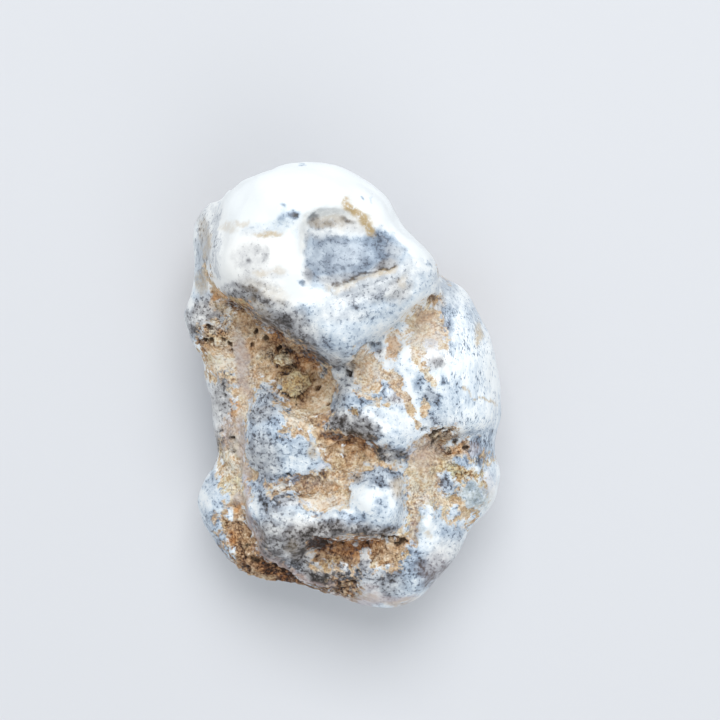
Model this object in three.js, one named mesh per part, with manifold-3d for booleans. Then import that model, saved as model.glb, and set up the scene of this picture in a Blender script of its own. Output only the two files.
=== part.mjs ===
// A loose nodule of dendritic opal, one natural stone, lying on the flat broken face of its back.
// Millimetres, +Z up. X runs across the stone, Y along it towards its head, and Z through its thickness.
// The origin is on the resting plane, under the middle of the stone's outline.
import * as THREE from "three";
import { mergeVertices } from "three/addons/utils/BufferGeometryUtils.js";
import { ImprovedNoise } from "three/addons/math/ImprovedNoise.js";
import { MarchingCubes } from "three/addons/objects/MarchingCubes.js";
import Module from "manifold-3d";

// Driving dimensions.
const LENGTH = 70.4;
const WIDTH = 50.5;
const THICKNESS = 43.4;

// How far two lumps flow into each other: over the body, between the lumps of the front, and at a crease.
const BODY_BLEND = 4;
const FRONT_BLEND = 2;
const CREASE_BLEND = 1.3;

// The skin is traced through cells of this size, and its points are then evened out this many times.
const CELL = 1.72;
const EVENING_ROUNDS = 10;
const MOST_TRACED_TRIANGLES = 40000;
const WELD = 1e-3;

// Each lump or hollow is an ellipsoid: its middle, its half sizes, and its turn about Z in degrees.
const HEAD = [
  { at: [-5, 22.3, 26], half: [14.3, 12, 17.6], turn: 0 }, // the dome
  { at: [-11.4, 22.4, 25], half: [8.8, 9.1, 12.6], turn: 20 }, // upper left of the dome
  { at: [5.9, 17.6, 27], half: [9.7, 6.8, 14.4], turn: -26 }, // right shoulder
  { at: [3.8, 14.2, 29], half: [8.8, 6.2, 11.4], turn: 38 }, // cheek between the shoulder and the lip
  { at: [-1.4, 10.2, 30], half: [6.6, 7.4, 10.6], turn: 8 }, // hanging lip
  { at: [-11.4, 15.4, 29], half: [9.4, 5.4, 12], turn: -35 }, // lower left cheek
];

const BODY = [
  { at: [2.4, -9, 16.5], half: [17.6, 20, 13], turn: 0 }, // heart of the body
  { at: [13.1, 2.4, 17.5], half: [11.1, 16.2, 13.5], turn: 8 }, // right flank
  { at: [17.2, -4.6, 17], half: [7.2, 7.6, 11], turn: 0 }, // lower half of the flank
  { at: [17.8, -15.6, 15.5], half: [7.2, 7.4, 9.4], turn: 0 }, // right hip
  { at: [7.4, -26, 16.5], half: [8.2, 9.6, 10.5], turn: 0 }, // lower right foot
  { at: [12.2, -23.4, 16], half: [6.2, 7.4, 10], turn: 30 }, // outside of the foot
  { at: [0.5, -27.4, 14], half: [12, 6.9, 9.6], turn: -6 }, // lower edge
  { at: [-12, -26.4, 12.6], half: [6.8, 5.2, 8], turn: 0 }, // lower left edge
  { at: [-15, -20.2, 13], half: [7.4, 7.6, 9.4], turn: 30 }, // lower left foot
  { at: [-18.4, -18.8, 13], half: [4.2, 3.8, 7], turn: 0 }, // corner of that foot
  { at: [-15, -5, 12.5], half: [6.2, 13, 10.8], turn: 3 }, // left flank
  { at: [-16, 6, 14.5], half: [6, 8.5, 10.8], turn: -8 }, // left waist
  { at: [-20.2, 10.8, 18.8], half: [4.5, 6.2, 8.4], turn: 0 }, // left knuckle
  { at: [-19.1, 22.4, 18.6], half: [4.3, 8.6, 10], turn: -8 }, // ear behind the head
];

// Lumps that stand out of the front.
const FRONT = [
  { at: [-8.8, -7.4, 20.4], half: [7, 8.4, 10.2], turn: 8 }, // left breast
  { at: [-8.8, -20.4, 19.6], half: [7.4, 7.4, 10.8], turn: -24 }, // lower left pillow
  { at: [0.4, -21.4, 21.6], half: [10, 3.6, 9.6], turn: 4 }, // ledge between the pillow and the knob
  { at: [5.2, -17.4, 24], half: [5.2, 5.3, 9], turn: 0 }, // white knob
  { at: [5, -5.2, 24.4], half: [8.4, 4.4, 9.6], turn: -36 }, // middle lobe
  { at: [9, 4.8, 21.6], half: [9, 8.6, 9.4], turn: 0 }, // plate under the head
  { at: [14.2, 1.6, 20.2], half: [9.4, 10.2, 11.4], turn: 10 }, // brow of the right flank
  { at: [12.8, -21.8, 20.6], half: [2.8, 5.6, 7.4], turn: -6 }, // right ridge
  { at: [-1.8, -29.2, 16.4], half: [5.4, 3.6, 7.2], turn: -8 }, // bumps on the lower edge
  { at: [4.4, -30.6, 17.4], half: [3.8, 3.9, 6.8], turn: 0 }, // white bump beside them
];

// The back, which the resting plane cuts.
const BACK = [
  { at: [-4, 13, 13], half: [15, 17, 15], turn: 20 },
  { at: [3, -12, 12], half: [16, 18, 14], turn: -10 },
  { at: [11, 6, 11], half: [9, 12, 10.8], turn: 0 },
];

const HOLLOWS = [
  { at: [2.4, 21, 45.6], half: [9.4, 6.8, 7.4], turn: 4 }, // dimple of the head
  { at: [-11, 23.4, 46.2], half: [5.6, 2.4, 4.8], turn: 4 }, // shallow valley left of the dimple
  { at: [-6.4, 0.6, 36], half: [7, 5.4, 14.4], turn: -24 }, // deep hollow under the lip
  { at: [-15.4, 9.4, 32], half: [8, 2.2, 7], turn: -32 }, // gutter under the left cheek
  { at: [9.6, 8.2, 34.6], half: [7.6, 2, 7], turn: 40 }, // gutter under the right shoulder
  { at: [0.4, -10.8, 35], half: [5.6, 3.2, 9], turn: 4 }, // hollow under the middle lobe
  { at: [-4.4, -15.8, 34], half: [5.8, 2.2, 7], turn: 8 }, // slot above the ledge
  { at: [11.2, -15.8, 33.4], half: [2.3, 7.6, 7.8], turn: -4 }, // channel down the right side
  { at: [0.8, -26.2, 31.6], half: [8.6, 3, 8.2], turn: 3 }, // recess below the ledge
  { at: [17, -9.2, 29.6], half: [5.8, 1.9, 7], turn: 8 }, // pocket below the right flank
  { at: [-17.4, -22.6, 25.4], half: [4.2, 6.2, 6.4], turn: 34 }, // crumbled corner
];

// Lumps of filling left inside the hollows.
const FILLING = [
  { at: [-7.4, 0.8, 20.6], half: [3.2, 3.3, 5], turn: 20 }, // olive lump under the lip
  { at: [17.6, -13.4, 20], half: [4.4, 3.6, 4.6], turn: 0 }, // crumbs in the pocket
];

// Unevenness of the whole skin: wave length and height of each layer.
const WAVES = [
  { length: 5.2, height: 0.42 },
  { length: 2.6, height: 0.22 },
];

// A gentle push that keeps any lump from showing the plain outline of its ellipsoid.
const WARP = { length: 7, reach: 0.7 };

const noise = new ImprovedNoise();

function placed({ at, half, turn }) {
  const away = new THREE.Matrix4().makeRotationZ(THREE.MathUtils.degToRad(-turn));
  return { middle: new THREE.Vector3(...at), half: new THREE.Vector3(...half), away };
}

const [head, body, front, back] = [HEAD, BODY, FRONT, BACK].map((list) => list.map(placed));
const [hollows, filling] = [HOLLOWS, FILLING].map((list) => list.map(placed));

// Close to the signed distance from an ellipsoid, negative inside.
function ellipsoid(point, { middle, half, away }) {
  const inner = point.clone().sub(middle).applyMatrix4(away).divide(half);
  const reach = inner.length();
  const slope = inner.divide(half).length();
  return slope < 1e-9 ? -Math.min(half.x, half.y, half.z) : (reach * (reach - 1)) / slope;
}

function joined(a, b, blend) {
  const share = Math.max(blend - Math.abs(a - b), 0) / blend;
  return Math.min(a, b) - (share * share * blend) / 4;
}

function carved(depth, hollow, blend) {
  return -joined(-depth, hollow, blend);
}

function lumps(point, list, blend) {
  return list.reduce((sum, lump) => joined(sum, ellipsoid(point, lump), blend), Infinity);
}

function unevenness({ x, y, z }) {
  return WAVES.reduce(
    (sum, { length, height }) => sum + height * noise.noise(x / length + 7, y / length, z / length),
    0,
  );
}

function warped(point) {
  const { x, y, z } = point.clone().divideScalar(WARP.length);
  const push = new THREE.Vector3(
    noise.noise(x + 31, y, z),
    noise.noise(x, y + 47, z),
    noise.noise(x, y, z + 59),
  );
  return push.multiplyScalar(WARP.reach).add(point);
}

// The stone is where this is negative: the body with its front, the head upon it, less the hollows.
function stone(spot) {
  const point = warped(spot);
  let depth = lumps(point, [...body, ...back], BODY_BLEND);
  depth = joined(depth, lumps(point, front, FRONT_BLEND), FRONT_BLEND);
  depth = joined(depth, lumps(point, head, BODY_BLEND), CREASE_BLEND);
  for (const hollow of hollows) depth = carved(depth, ellipsoid(point, hollow), CREASE_BLEND);
  depth = joined(depth, lumps(point, filling, FRONT_BLEND), CREASE_BLEND);
  return depth + unevenness(spot);
}

// The direction in which the stone thins out, and how fast.
function slopeAt(point) {
  const step = 0.05;
  const along = (x, y, z) => stone(point.clone().add(new THREE.Vector3(x, y, z)));
  return new THREE.Vector3(
    along(step, 0, 0) - along(-step, 0, 0),
    along(0, step, 0) - along(0, -step, 0),
    along(0, 0, step) - along(0, 0, -step),
  ).divideScalar(2 * step);
}

// Slides a point back onto the skin.
function settle(point) {
  const flattest = 0.2;
  const slope = slopeAt(point);
  point.addScaledVector(slope, -stone(point) / Math.max(slope.lengthSq(), flattest));
}

// The skin as a block of cells gives it, with small and large triangles mixed.
function tracedSkin() {
  const count = Math.ceil(LENGTH / CELL) + 6;
  const plain = new THREE.MeshStandardMaterial();
  const cells = new MarchingCubes(count, plain, false, false, MOST_TRACED_TRIANGLES);
  const half = cells.halfsize;
  const middle = new THREE.Vector3(0, 0, THICKNESS / 2);
  const spot = new THREE.Vector3();
  for (let z = 0; z < count; z++) {
    for (let y = 0; y < count; y++) {
      for (let x = 0; x < count; x++) {
        spot.set(x - half, y - half, z - half).multiplyScalar(CELL).add(middle);
        cells.setCell(x, y, z, -stone(spot));
      }
    }
  }
  cells.isolation = 0;
  cells.update();
  const corners = cells.geometry.attributes.position.array.slice(0, 3 * cells.count);
  const traced = new THREE.BufferGeometry();
  traced.setAttribute("position", new THREE.BufferAttribute(corners, 3));
  traced.scale(half * CELL, half * CELL, half * CELL).translate(middle.x, middle.y, middle.z);
  return mergeVertices(traced, WELD);
}

function neighboursOf(geometry) {
  const near = Array.from({ length: geometry.attributes.position.count }, () => new Set());
  const corners = geometry.index.array;
  for (let i = 0; i < corners.length; i += 3) {
    for (let k = 0; k < 3; k++) {
      near[corners[i + k]].add(corners[i + ((k + 1) % 3)]);
      near[corners[i + k]].add(corners[i + ((k + 2) % 3)]);
    }
  }
  return near;
}

// The traced skin with its points spread evenly: each moves halfway to the middle of its neighbours.
function skin() {
  const mesh = tracedSkin();
  const position = mesh.attributes.position;
  const points = Array.from({ length: position.count }, (_, i) =>
    new THREE.Vector3().fromBufferAttribute(position, i),
  );
  const near = neighboursOf(mesh);
  for (let round = 0; round < EVENING_ROUNDS; round++) {
    points.forEach((point, i) => {
      const average = new THREE.Vector3();
      near[i].forEach((j) => average.add(points[j]));
      point.lerp(average.divideScalar(near[i].size), 0.5);
      settle(point);
      settle(point);
    });
  }
  points.forEach((point, i) => position.setXYZ(i, point.x, point.y, point.z));
  return mesh;
}

const wasm = await Module();
wasm.setup();

function solidOf(geometry) {
  const plain = geometry.clone();
  plain.deleteAttribute("normal");
  plain.deleteAttribute("uv");
  const merged = mergeVertices(plain, WELD);
  return new wasm.Manifold(
    new wasm.Mesh({
      numProp: 3,
      vertProperties: merged.attributes.position.array,
      triVerts: new Uint32Array(merged.index.array),
    }),
  );
}

function geometryOf(solid) {
  const mesh = solid.getMesh();
  const geometry = new THREE.BufferGeometry();
  geometry.setAttribute("position", new THREE.BufferAttribute(mesh.vertProperties, 3));
  geometry.setIndex(new THREE.BufferAttribute(mesh.triVerts, 1));
  return geometry;
}

// Everything below the broken face that the nodule rests on.
function belowRestingPlane() {
  return new THREE.BoxGeometry(2 * LENGTH, 2 * LENGTH, LENGTH).translate(0, 0, -LENGTH / 2);
}

// The stone at its driving dimensions, with the origin under the middle of its outline.
function toSize(geometry) {
  geometry.computeBoundingBox();
  const size = geometry.boundingBox.getSize(new THREE.Vector3());
  const middle = geometry.boundingBox.getCenter(new THREE.Vector3());
  geometry.translate(-middle.x, -middle.y, 0);
  return geometry.scale(WIDTH / size.x, LENGTH / size.y, THICKNESS / size.z);
}

const nodule = new THREE.Mesh(
  toSize(geometryOf(solidOf(skin()).subtract(solidOf(belowRestingPlane())))),
  new THREE.MeshStandardMaterial({ color: 0xe4e4e2, roughness: 0.5, metalness: 0 }),
);
nodule.name = "opal_nodule";

const part = new THREE.Group();
part.add(nodule);

export default part;
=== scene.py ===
# %% [markdown]
# A loose nodule of white dendritic opal, about 50 mm wide and 70 mm long.
# It grew as one piece, so the lesson makes one mesh: porcelain-white opal with blue-grey
# moss-like growths in it, and matt tan host rock left in its hollows.
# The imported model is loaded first. It fixes the size and the place of everything that follows.

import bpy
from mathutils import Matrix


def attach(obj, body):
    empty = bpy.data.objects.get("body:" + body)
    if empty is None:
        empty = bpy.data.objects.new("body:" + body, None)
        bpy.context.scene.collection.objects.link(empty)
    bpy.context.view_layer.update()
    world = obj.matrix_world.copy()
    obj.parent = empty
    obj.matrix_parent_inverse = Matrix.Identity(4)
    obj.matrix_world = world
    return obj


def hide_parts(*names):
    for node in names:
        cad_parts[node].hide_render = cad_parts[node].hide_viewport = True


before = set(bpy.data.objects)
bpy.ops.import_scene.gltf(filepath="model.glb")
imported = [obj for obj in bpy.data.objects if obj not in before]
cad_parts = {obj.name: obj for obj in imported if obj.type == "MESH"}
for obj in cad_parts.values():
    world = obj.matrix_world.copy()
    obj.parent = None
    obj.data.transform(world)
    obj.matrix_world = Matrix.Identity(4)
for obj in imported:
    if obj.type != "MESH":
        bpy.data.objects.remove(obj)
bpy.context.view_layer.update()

# %% [markdown]
# The lists and helpers below count in millimetres, and Blender counts in metres. One factor
# turns one into the other. A scene could be set to millimetres instead, but then it would
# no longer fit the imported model.

# %% The other imports and the unit
import math

import bpy
import numpy as np
from mathutils import Vector, noise

MM = 0.001
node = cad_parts["opal_nodule"]
print("The stone's solid has", len(node.data.polygons), "triangles")

# %% [markdown]
# The stone lies on its back, and the camera looks straight down on it. The photograph is
# 720 pixels wide and shows 6.3 pixels to the millimetre. Those two numbers and a distance
# give the lens. The distance was chosen long, because a near camera would swell the head.
# Those millimetres are counted on a plane 20 mm above the floor, about halfway up the stone.

# %% Camera
PHOTO_SIDE = 720
PIXELS_PER_MM = 6.3
SENSOR = 36.0
PLANE_HEIGHT = 20.0
CAMERA_DISTANCE = 300.0
CAMERA_X = 2.64
CAMERA_Y = 4.67
NEAREST = 0.01
camera_height = PLANE_HEIGHT + CAMERA_DISTANCE

camera_data = bpy.data.cameras.new("camera")
camera_data.sensor_width = SENSOR
camera_data.lens = SENSOR * CAMERA_DISTANCE / (PHOTO_SIDE / PIXELS_PER_MM)
camera_data.clip_start = NEAREST
camera = bpy.data.objects.new("camera", camera_data)
camera.location = (CAMERA_X * MM, CAMERA_Y * MM, camera_height * MM)
bpy.context.scene.collection.objects.link(camera)
bpy.context.scene.camera = camera
print("Lens", round(camera_data.lens, 1), "mm, camera", camera_height, "mm above the floor")

# %% [markdown]
# The light in the photograph is soft daylight from above the stone and from its head end.
# One wide area light does most of that, a second weaker one opens the shadows at the foot
# end, and a pale world fills the rest. A sun lamp would be simpler, but its shadows would
# be too hard. The floor is one big plain sheet.

# %% Floor and light
FLOOR_SIDE = 6.0
FLOOR_COLOUR = (0.665, 0.680, 0.712, 1.0)
FLOOR_ROUGHNESS = 0.9
FLOOR_SHINE = 0.1
WORLD_COLOUR = (0.95, 0.98, 1.0, 1.0)
WORLD_STRENGTH = 0.57
KEY_PLACE = Vector((0.05, 0.50, 0.92))
KEY_SIDE = 0.60
KEY_POWER = 6.9
FILL_PLACE = Vector((0.25, -0.60, 0.85))
FILL_SIDE = 0.9
FILL_POWER = 2.2
STONE_MIDDLE = Vector((0, 0, PLANE_HEIGHT * MM))


def area_light(name, place, side, power):
    """A square area light that faces the stone."""
    data = bpy.data.lights.new(name, "AREA")
    data.shape = "SQUARE"
    data.size = side
    data.energy = power
    lamp = bpy.data.objects.new(name, data)
    lamp.location = place
    lamp.rotation_mode = "QUATERNION"
    lamp.rotation_quaternion = (STONE_MIDDLE - place).to_track_quat("-Z", "Y")
    bpy.context.scene.collection.objects.link(lamp)


def nothing_selected():
    """Operators act on all that is selected, so each step starts with a clean slate."""
    for thing in bpy.context.selected_objects:
        thing.select_set(False)


nothing_selected()
bpy.ops.mesh.primitive_plane_add(size=FLOOR_SIDE, location=(0, 0, 0))
floor = bpy.context.active_object
floor.name = "floor"
floor_finish = bpy.data.materials.new("pale_floor")
floor_finish.use_nodes = True
floor_shader = floor_finish.node_tree.nodes["Principled BSDF"]
floor_shader.inputs["Base Color"].default_value = FLOOR_COLOUR
floor_shader.inputs["Roughness"].default_value = FLOOR_ROUGHNESS
floor_shader.inputs["Specular IOR Level"].default_value = FLOOR_SHINE
floor.data.materials.append(floor_finish)

world = bpy.data.worlds.new("studio")
world.use_nodes = True
world.node_tree.nodes["Background"].inputs["Color"].default_value = WORLD_COLOUR
world.node_tree.nodes["Background"].inputs["Strength"].default_value = WORLD_STRENGTH
bpy.context.scene.world = world
bpy.context.scene.view_settings.view_transform = "Standard"

area_light("key_light", KEY_PLACE, KEY_SIDE, KEY_POWER)
area_light("fill_light", FILL_PLACE, FILL_SIDE, FILL_POWER)

# %% [markdown]
# The solid is made of triangles nearly 2 mm long, too coarse for pits and grain. Its copy is
# merged, rounded by one level of subdivision, and then given an even skin of small squares
# by a voxel remesh, a third of a millimetre each. Sculpting on an even skin works the same
# everywhere, which is why remeshing beats more subdivision here.

# %% A fine copy of the stone
SKIN_SQUARE = 0.32
SMOOTH_ROUNDS = 4
MERGE_METRES = 1e-6


def alone(thing):
    """Makes one object the only selected one, and the active one."""
    nothing_selected()
    thing.select_set(True)
    bpy.context.view_layer.objects.active = thing


def finish_modifier(thing, kind, **settings):
    """Adds a modifier, sets it, and applies it."""
    alone(thing)
    modifier = thing.modifiers.new(kind.lower(), kind)
    for key, value in settings.items():
        setattr(modifier, key, value)
    bpy.ops.object.modifier_apply(modifier=modifier.name)


stone = bpy.data.objects.new("opal_stone", node.data.copy())
bpy.context.scene.collection.objects.link(stone)
stone.data.materials.clear()
alone(stone)
bpy.ops.object.mode_set(mode="EDIT")
bpy.ops.mesh.select_all(action="SELECT")
bpy.ops.mesh.remove_doubles(threshold=MERGE_METRES)
bpy.ops.object.mode_set(mode="OBJECT")
bpy.ops.mesh.customdata_custom_splitnormals_clear()
finish_modifier(stone, "SUBSURF", levels=1, render_levels=1)
finish_modifier(stone, "REMESH", mode="VOXEL", voxel_size=SKIN_SQUARE * MM)
finish_modifier(stone, "SMOOTH", factor=0.5, iterations=SMOOTH_ROUNDS)
alone(stone)
bpy.ops.object.shade_smooth()
print("Fine copy:", len(stone.data.vertices), "vertices,", 2 * len(stone.data.polygons), "triangles")

# %% [markdown]
# That skin has more triangles than one piece may have. The side that the stone lies on needs
# the least detail, so the Decimate modifier takes more there than on top. A vertex group
# tells it where: 0 keeps the skin and 1 lets it go first. The weights stay small, because
# strong ones would leave thin needles of triangles that smear every colour laid on them.

# %% A lighter underside
MOST_TRIANGLES = 196000
THINNING = 0.12
SIDEWAYS = 0.1
FINE_LEVELS = 1024


def read(mesh, what):
    """Vertex positions or normals as an array with one row per vertex."""
    values = np.empty(3 * len(mesh.vertices), np.float32)
    mesh.vertices.foreach_get(what, values)
    return values.reshape(-1, 3).astype(float)


def vertex_group(thing, name, weight, levels=64):
    """Stores one weight per vertex, rounded to so many levels, because that is quicker."""
    group = thing.vertex_groups.new(name=name)
    level = np.round(np.clip(weight, 0.0, 1.0) * levels).astype(int)
    for step in np.unique(level[level > 0]):
        group.add(np.nonzero(level == step)[0].tolist(), step / levels, "REPLACE")
    return group.name


downward = np.clip((-read(stone.data, "normal")[:, 2] - SIDEWAYS) / (1.0 - SIDEWAYS), 0.0, 1.0)
turned_away = vertex_group(stone, "underside", THINNING * downward, levels=FINE_LEVELS)
finish_modifier(stone, "DECIMATE", ratio=MOST_TRIANGLES / (2 * len(stone.data.polygons)),
                vertex_group=turned_away, vertex_group_factor=1.0)
alone(stone)
bpy.ops.object.shade_smooth()
triangles = sum(len(face.vertices) - 2 for face in stone.data.polygons)
print("Lighter copy:", len(stone.data.vertices), "vertices,", triangles, "triangles")

# %% [markdown]
# Colour and relief follow patches that are placed on the photograph. Every patch is
# given in millimetres on the picture plane, counted from the picture's centre: u to the
# right and v upwards. So each vertex needs its own u and v, which is the camera's
# perspective worked backwards. A patch would end in a clean ellipse, so u and v are first
# shaken a little by noise, and every edge becomes ragged. A projected picture would be less
# work, but it would smear down the sides.

# %% Where each vertex is on the picture
SHAKE = ((3.0, 0.55), (0.9, 0.30))


def noise_field(size, seed, octaves=3):
    """Fractal noise over the stone, roughly from -1 to 1, with features of this size in mm."""
    shift = Vector((seed * 17.3, seed * 5.1, seed * 29.7))
    return np.array([noise.fractal(Vector(p) / size + shift, 0.8, 2.0, octaves) for p in place])


def soft(value, low, high):
    """0 below low, 1 above high, and a smooth rise between."""
    t = np.clip((value - low) / (high - low), 0.0, 1.0)
    return t * t * (3.0 - 2.0 * t)


place = read(stone.data, "co") / MM
facing = read(stone.data, "normal")
x, y, z = place.T
perspective = CAMERA_DISTANCE / (camera_height - z)
plain_u = shaken_u = (x - CAMERA_X) * perspective
plain_v = shaken_v = (y - CAMERA_Y) * perspective
for seed, (size, reach) in enumerate(SHAKE):
    shaken_u = shaken_u + reach * noise_field(size, 2 * seed + 1)
    shaken_v = shaken_v + reach * noise_field(size, 2 * seed + 2)
front = soft(facing[:, 2], -0.30, 0.10)
print("u from", round(plain_u.min(), 1), "to", round(plain_u.max(), 1))
print("v from", round(plain_v.min(), 1), "to", round(plain_v.max(), 1))

# %% [markdown]
# Three kinds of patch are enough for a natural stone: a spot (an ellipse), a seam (a line of
# some width) and a field (an outline). Each gives 1 inside and 0 outside, with a soft edge.
# A list of patches is gathered into one value per vertex.

# %% Patches
def spot(u0, v0, half_u, half_v, turn=0.0, edge=0.45, shaken=True):
    """An ellipse, turned anticlockwise by so many degrees."""
    c, s = math.cos(math.radians(turn)), math.sin(math.radians(turn))
    du, dv = (shaken_u - u0, shaken_v - v0) if shaken else (plain_u - u0, plain_v - v0)
    r = np.hypot((du * c + dv * s) / half_u, (dv * c - du * s) / half_v)
    return 1.0 - soft(r, 1.0 - edge, 1.0 + edge)


def distance_to(a, b, at_u, at_v):
    """Distance from each vertex to the line from a to b on the picture plane."""
    au, av = a
    bu, bv = b[0] - au, b[1] - av
    t = np.clip(((at_u - au) * bu + (at_v - av) * bv) / (bu * bu + bv * bv), 0.0, 1.0)
    return np.hypot(at_u - au - t * bu, at_v - av - t * bv)


def seam(points, half_width, edge=0.6, shaken=True):
    """A line through some points, of the given half width in mm."""
    at_u, at_v = (shaken_u, shaken_v) if shaken else (plain_u, plain_v)
    d = np.min([distance_to(a, b, at_u, at_v) for a, b in zip(points, points[1:])], axis=0)
    return 1.0 - soft(d, half_width * (1.0 - edge), half_width * (1.0 + edge))


def field(points, edge=1.2, shaken=True):
    """The inside of an outline, with an edge of so many mm."""
    u, v = (shaken_u, shaken_v) if shaken else (plain_u, plain_v)
    inside = np.zeros(len(u), bool)
    closed = points[1:] + points[:1]
    nearest = np.full(len(u), 1e9)
    for (au, av), (bu, bv) in zip(points, closed):
        crosses = (av > v) != (bv > v)
        with np.errstate(divide="ignore", invalid="ignore"):
            crosses &= u < (bu - au) * (v - av) / (bv - av) + au
        inside ^= crosses
        nearest = np.minimum(nearest, distance_to((au, av), (bu, bv), u, v))
    return soft(np.where(inside, nearest, -nearest), -edge, edge)


def gather(spots, start=0.0, edge=0.45, shaken=True):
    """Lays spots over each other. Each is (u, v, half u, half v, turn, value)."""
    total = np.zeros(len(z)) + start
    for *shape, value in spots:
        mask = spot(*shape, edge, shaken)
        total += mask * (value - total)
    return total


print("Patch tools are ready for", len(z), "vertices")

# %% [markdown]
# Clouds of blue-grey moss are what gives this opal its name. They are broad and soft in the
# dimple of the head, nearly black in a band along the underside of the lip, and broken into
# small specks on the flanks. Growth could be left to noise alone, but then no cloud would lie
# where the real one does. So the lists paint broad areas first and their darker and lighter
# spots after them, as a painter would. 0 is clean white opal and 1 is nearly black growth. A
# small spot may ask for more than 1, because its soft edge takes some of that away again. A
# few spots darken places that lie in shade, as painted shadow, and each of them is marked.

# %% Broad clouds
CLOUD_FIELDS = {
    "left of the dimple": (0.62, [
        (-9.0, 19.5), (-7.5, 20.2), (-5.5, 19.6), (-3.0, 19.9), (-1.0, 19.7), (0.5, 20.0),
        (1.9, 19.6), (2.0, 15.0), (0.5, 14.2), (-2.0, 12.6), (-4.5, 12.2), (-7.0, 12.6),
        (-8.8, 13.2), (-9.2, 16.0),
    ]),
    "right of the dimple": (0.66, [
        (1.5, 20.6), (3.5, 21.0), (5.5, 20.0), (7.2, 18.0), (7.6, 16.2), (6.0, 15.4), (4.0, 14.9),
        (1.6, 14.5),
    ]),
    "dark band under the lip": (0.74, [
        (-21.5, 12.4), (-18.5, 12.8), (-15.5, 10.8), (-12.5, 8.6), (-10.0, 6.6), (-7.5, 4.6),
        (-6.2, 2.2), (-6.6, -0.2), (-9.4, 1.4), (-12.0, 3.2), (-15.0, 4.8), (-18.0, 7.8),
        (-21.5, 10.0),
    ]),
    "end of that band": (0.52, [
        (-7.5, 4.8), (-4.8, 6.0), (-1.6, 5.0), (-0.8, 2.6), (-2.2, -0.6), (-4.4, -2.2),
        (-6.6, -0.2), (-7.2, 2.2),
    ]),
    "left edge": (0.56, [
        (-21.2, -1.7), (-20.2, -4.0), (-20.2, -7.5), (-21.2, -9.0), (-22.0, -12.0), (-22.6, -14.5),
        (-23.8, -14.0), (-23.8, -8.0), (-23.8, -5.0), (-22.6, -3.0),
    ]),
    "block on the left": (0.48, [
        (-18.3, -8.5), (-17.2, -4.5), (-15.5, -3.3), (-13.5, -4.2), (-12.6, -6.5), (-13.0, -8.5),
        (-12.0, -11.5), (-8.5, -12.0), (-6.8, -14.5), (-5.4, -17.0), (-9.0, -18.6), (-13.0, -19.4),
        (-16.5, -19.0), (-18.2, -17.5),
    ]),
    "left of the foot": (0.54, [
        (-18.3, -19.0), (-15.0, -19.5), (-13.5, -21.2), (-10.0, -21.0), (-9.0, -23.0),
        (-6.0, -24.4), (2.0, -25.0), (5.5, -24.8), (6.5, -26.5), (4.0, -28.2), (-4.0, -28.4),
        (-8.0, -30.0), (-8.0, -32.0), (-10.0, -33.5), (-12.5, -31.8), (-15.5, -30.0), (-17.0, -26.0),
    ]),
    "right of the foot": (0.50, [
        (7.8, -29.5), (10.0, -28.5), (12.0, -25.8), (16.5, -26.0), (16.8, -29.0), (15.0, -32.5),
        (12.0, -35.5), (8.0, -37.3), (3.5, -37.7), (3.3, -34.0), (5.5, -32.8),
    ]),
    "above the white crest in the middle": (0.62, [
        (-0.8, -17.2), (2.0, -16.6), (5.4, -17.2), (6.0, -19.5), (3.5, -20.2), (0.5, -20.0),
        (-1.4, -20.2),
    ]),
    "right of that crest": (0.50, [
        (5.4, -19.8), (7.6, -20.4), (8.0, -23.0), (7.6, -26.2), (5.8, -26.5), (5.6, -23.0),
    ]),
    "dark band in the middle": (0.70, [
        (-5.8, -8.6), (-3.4, -9.0), (-0.4, -9.8), (2.0, -11.2), (3.4, -14.4), (8.0, -15.0),
        (7.0, -16.4), (3.0, -15.6), (0.0, -13.2), (-3.5, -12.0), (-5.8, -10.2),
    ]),
    "below the knob": (0.46, [
        (-4.2, -2.6), (-1.5, -3.4), (0.6, -5.6), (3.2, -6.4), (2.4, -7.6), (-1.2, -7.2),
        (-4.6, -7.6),
    ]),
    "lower right edge": (0.58, [
        (16.0, -10.0), (22.6, -9.5), (22.4, -14.0), (19.8, -16.5), (18.6, -15.0), (17.8, -12.5),
    ]),
    "right flank": (0.18, [
        (12.0, 11.0), (15.0, 10.0), (20.0, 5.0), (23.0, -4.0), (22.6, -9.5), (16.0, -10.0),
        (11.0, -9.5), (12.5, -4.0), (14.5, 2.0),
    ]),
    "below the dimple": (0.36, [
        (-6.5, 4.5), (-5.6, 8.6), (-3.6, 11.2), (0.5, 12.8), (5.0, 14.8), (8.5, 16.0), (11.8, 15.8),
        (12.4, 13.0), (9.5, 10.3), (6.0, 7.0), (3.5, 3.4), (0.5, 2.2), (-1.0, 2.6), (-4.0, 4.5),
    ]),
    "right edge of the head": (0.44, [
        (12.3, 15.6), (13.6, 14.6), (15.2, 12.4), (15.6, 10.0), (15.0, 7.6), (13.6, 6.0),
        (13.0, 9.0), (12.4, 10.6), (11.8, 10.9), (12.5, 12.5),
    ]),
    "beside the channel": (0.34, [
        (8.3, -26.0), (9.2, -23.4), (10.2, -24.6), (10.0, -28.2), (8.6, -29.4),
    ]),
}
print(len(CLOUD_FIELDS), "broad clouds")

# %% [markdown]
# The growth on the head shows best in the dimple, whose floor it fills, and in the band under
# the lip. Each row is one spot: its u and v, its half sizes, its turn and its value. The last
# rows lie over the others, so their order matters. A row for each speck would be endless, so
# the specks are left to the finish.

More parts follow.
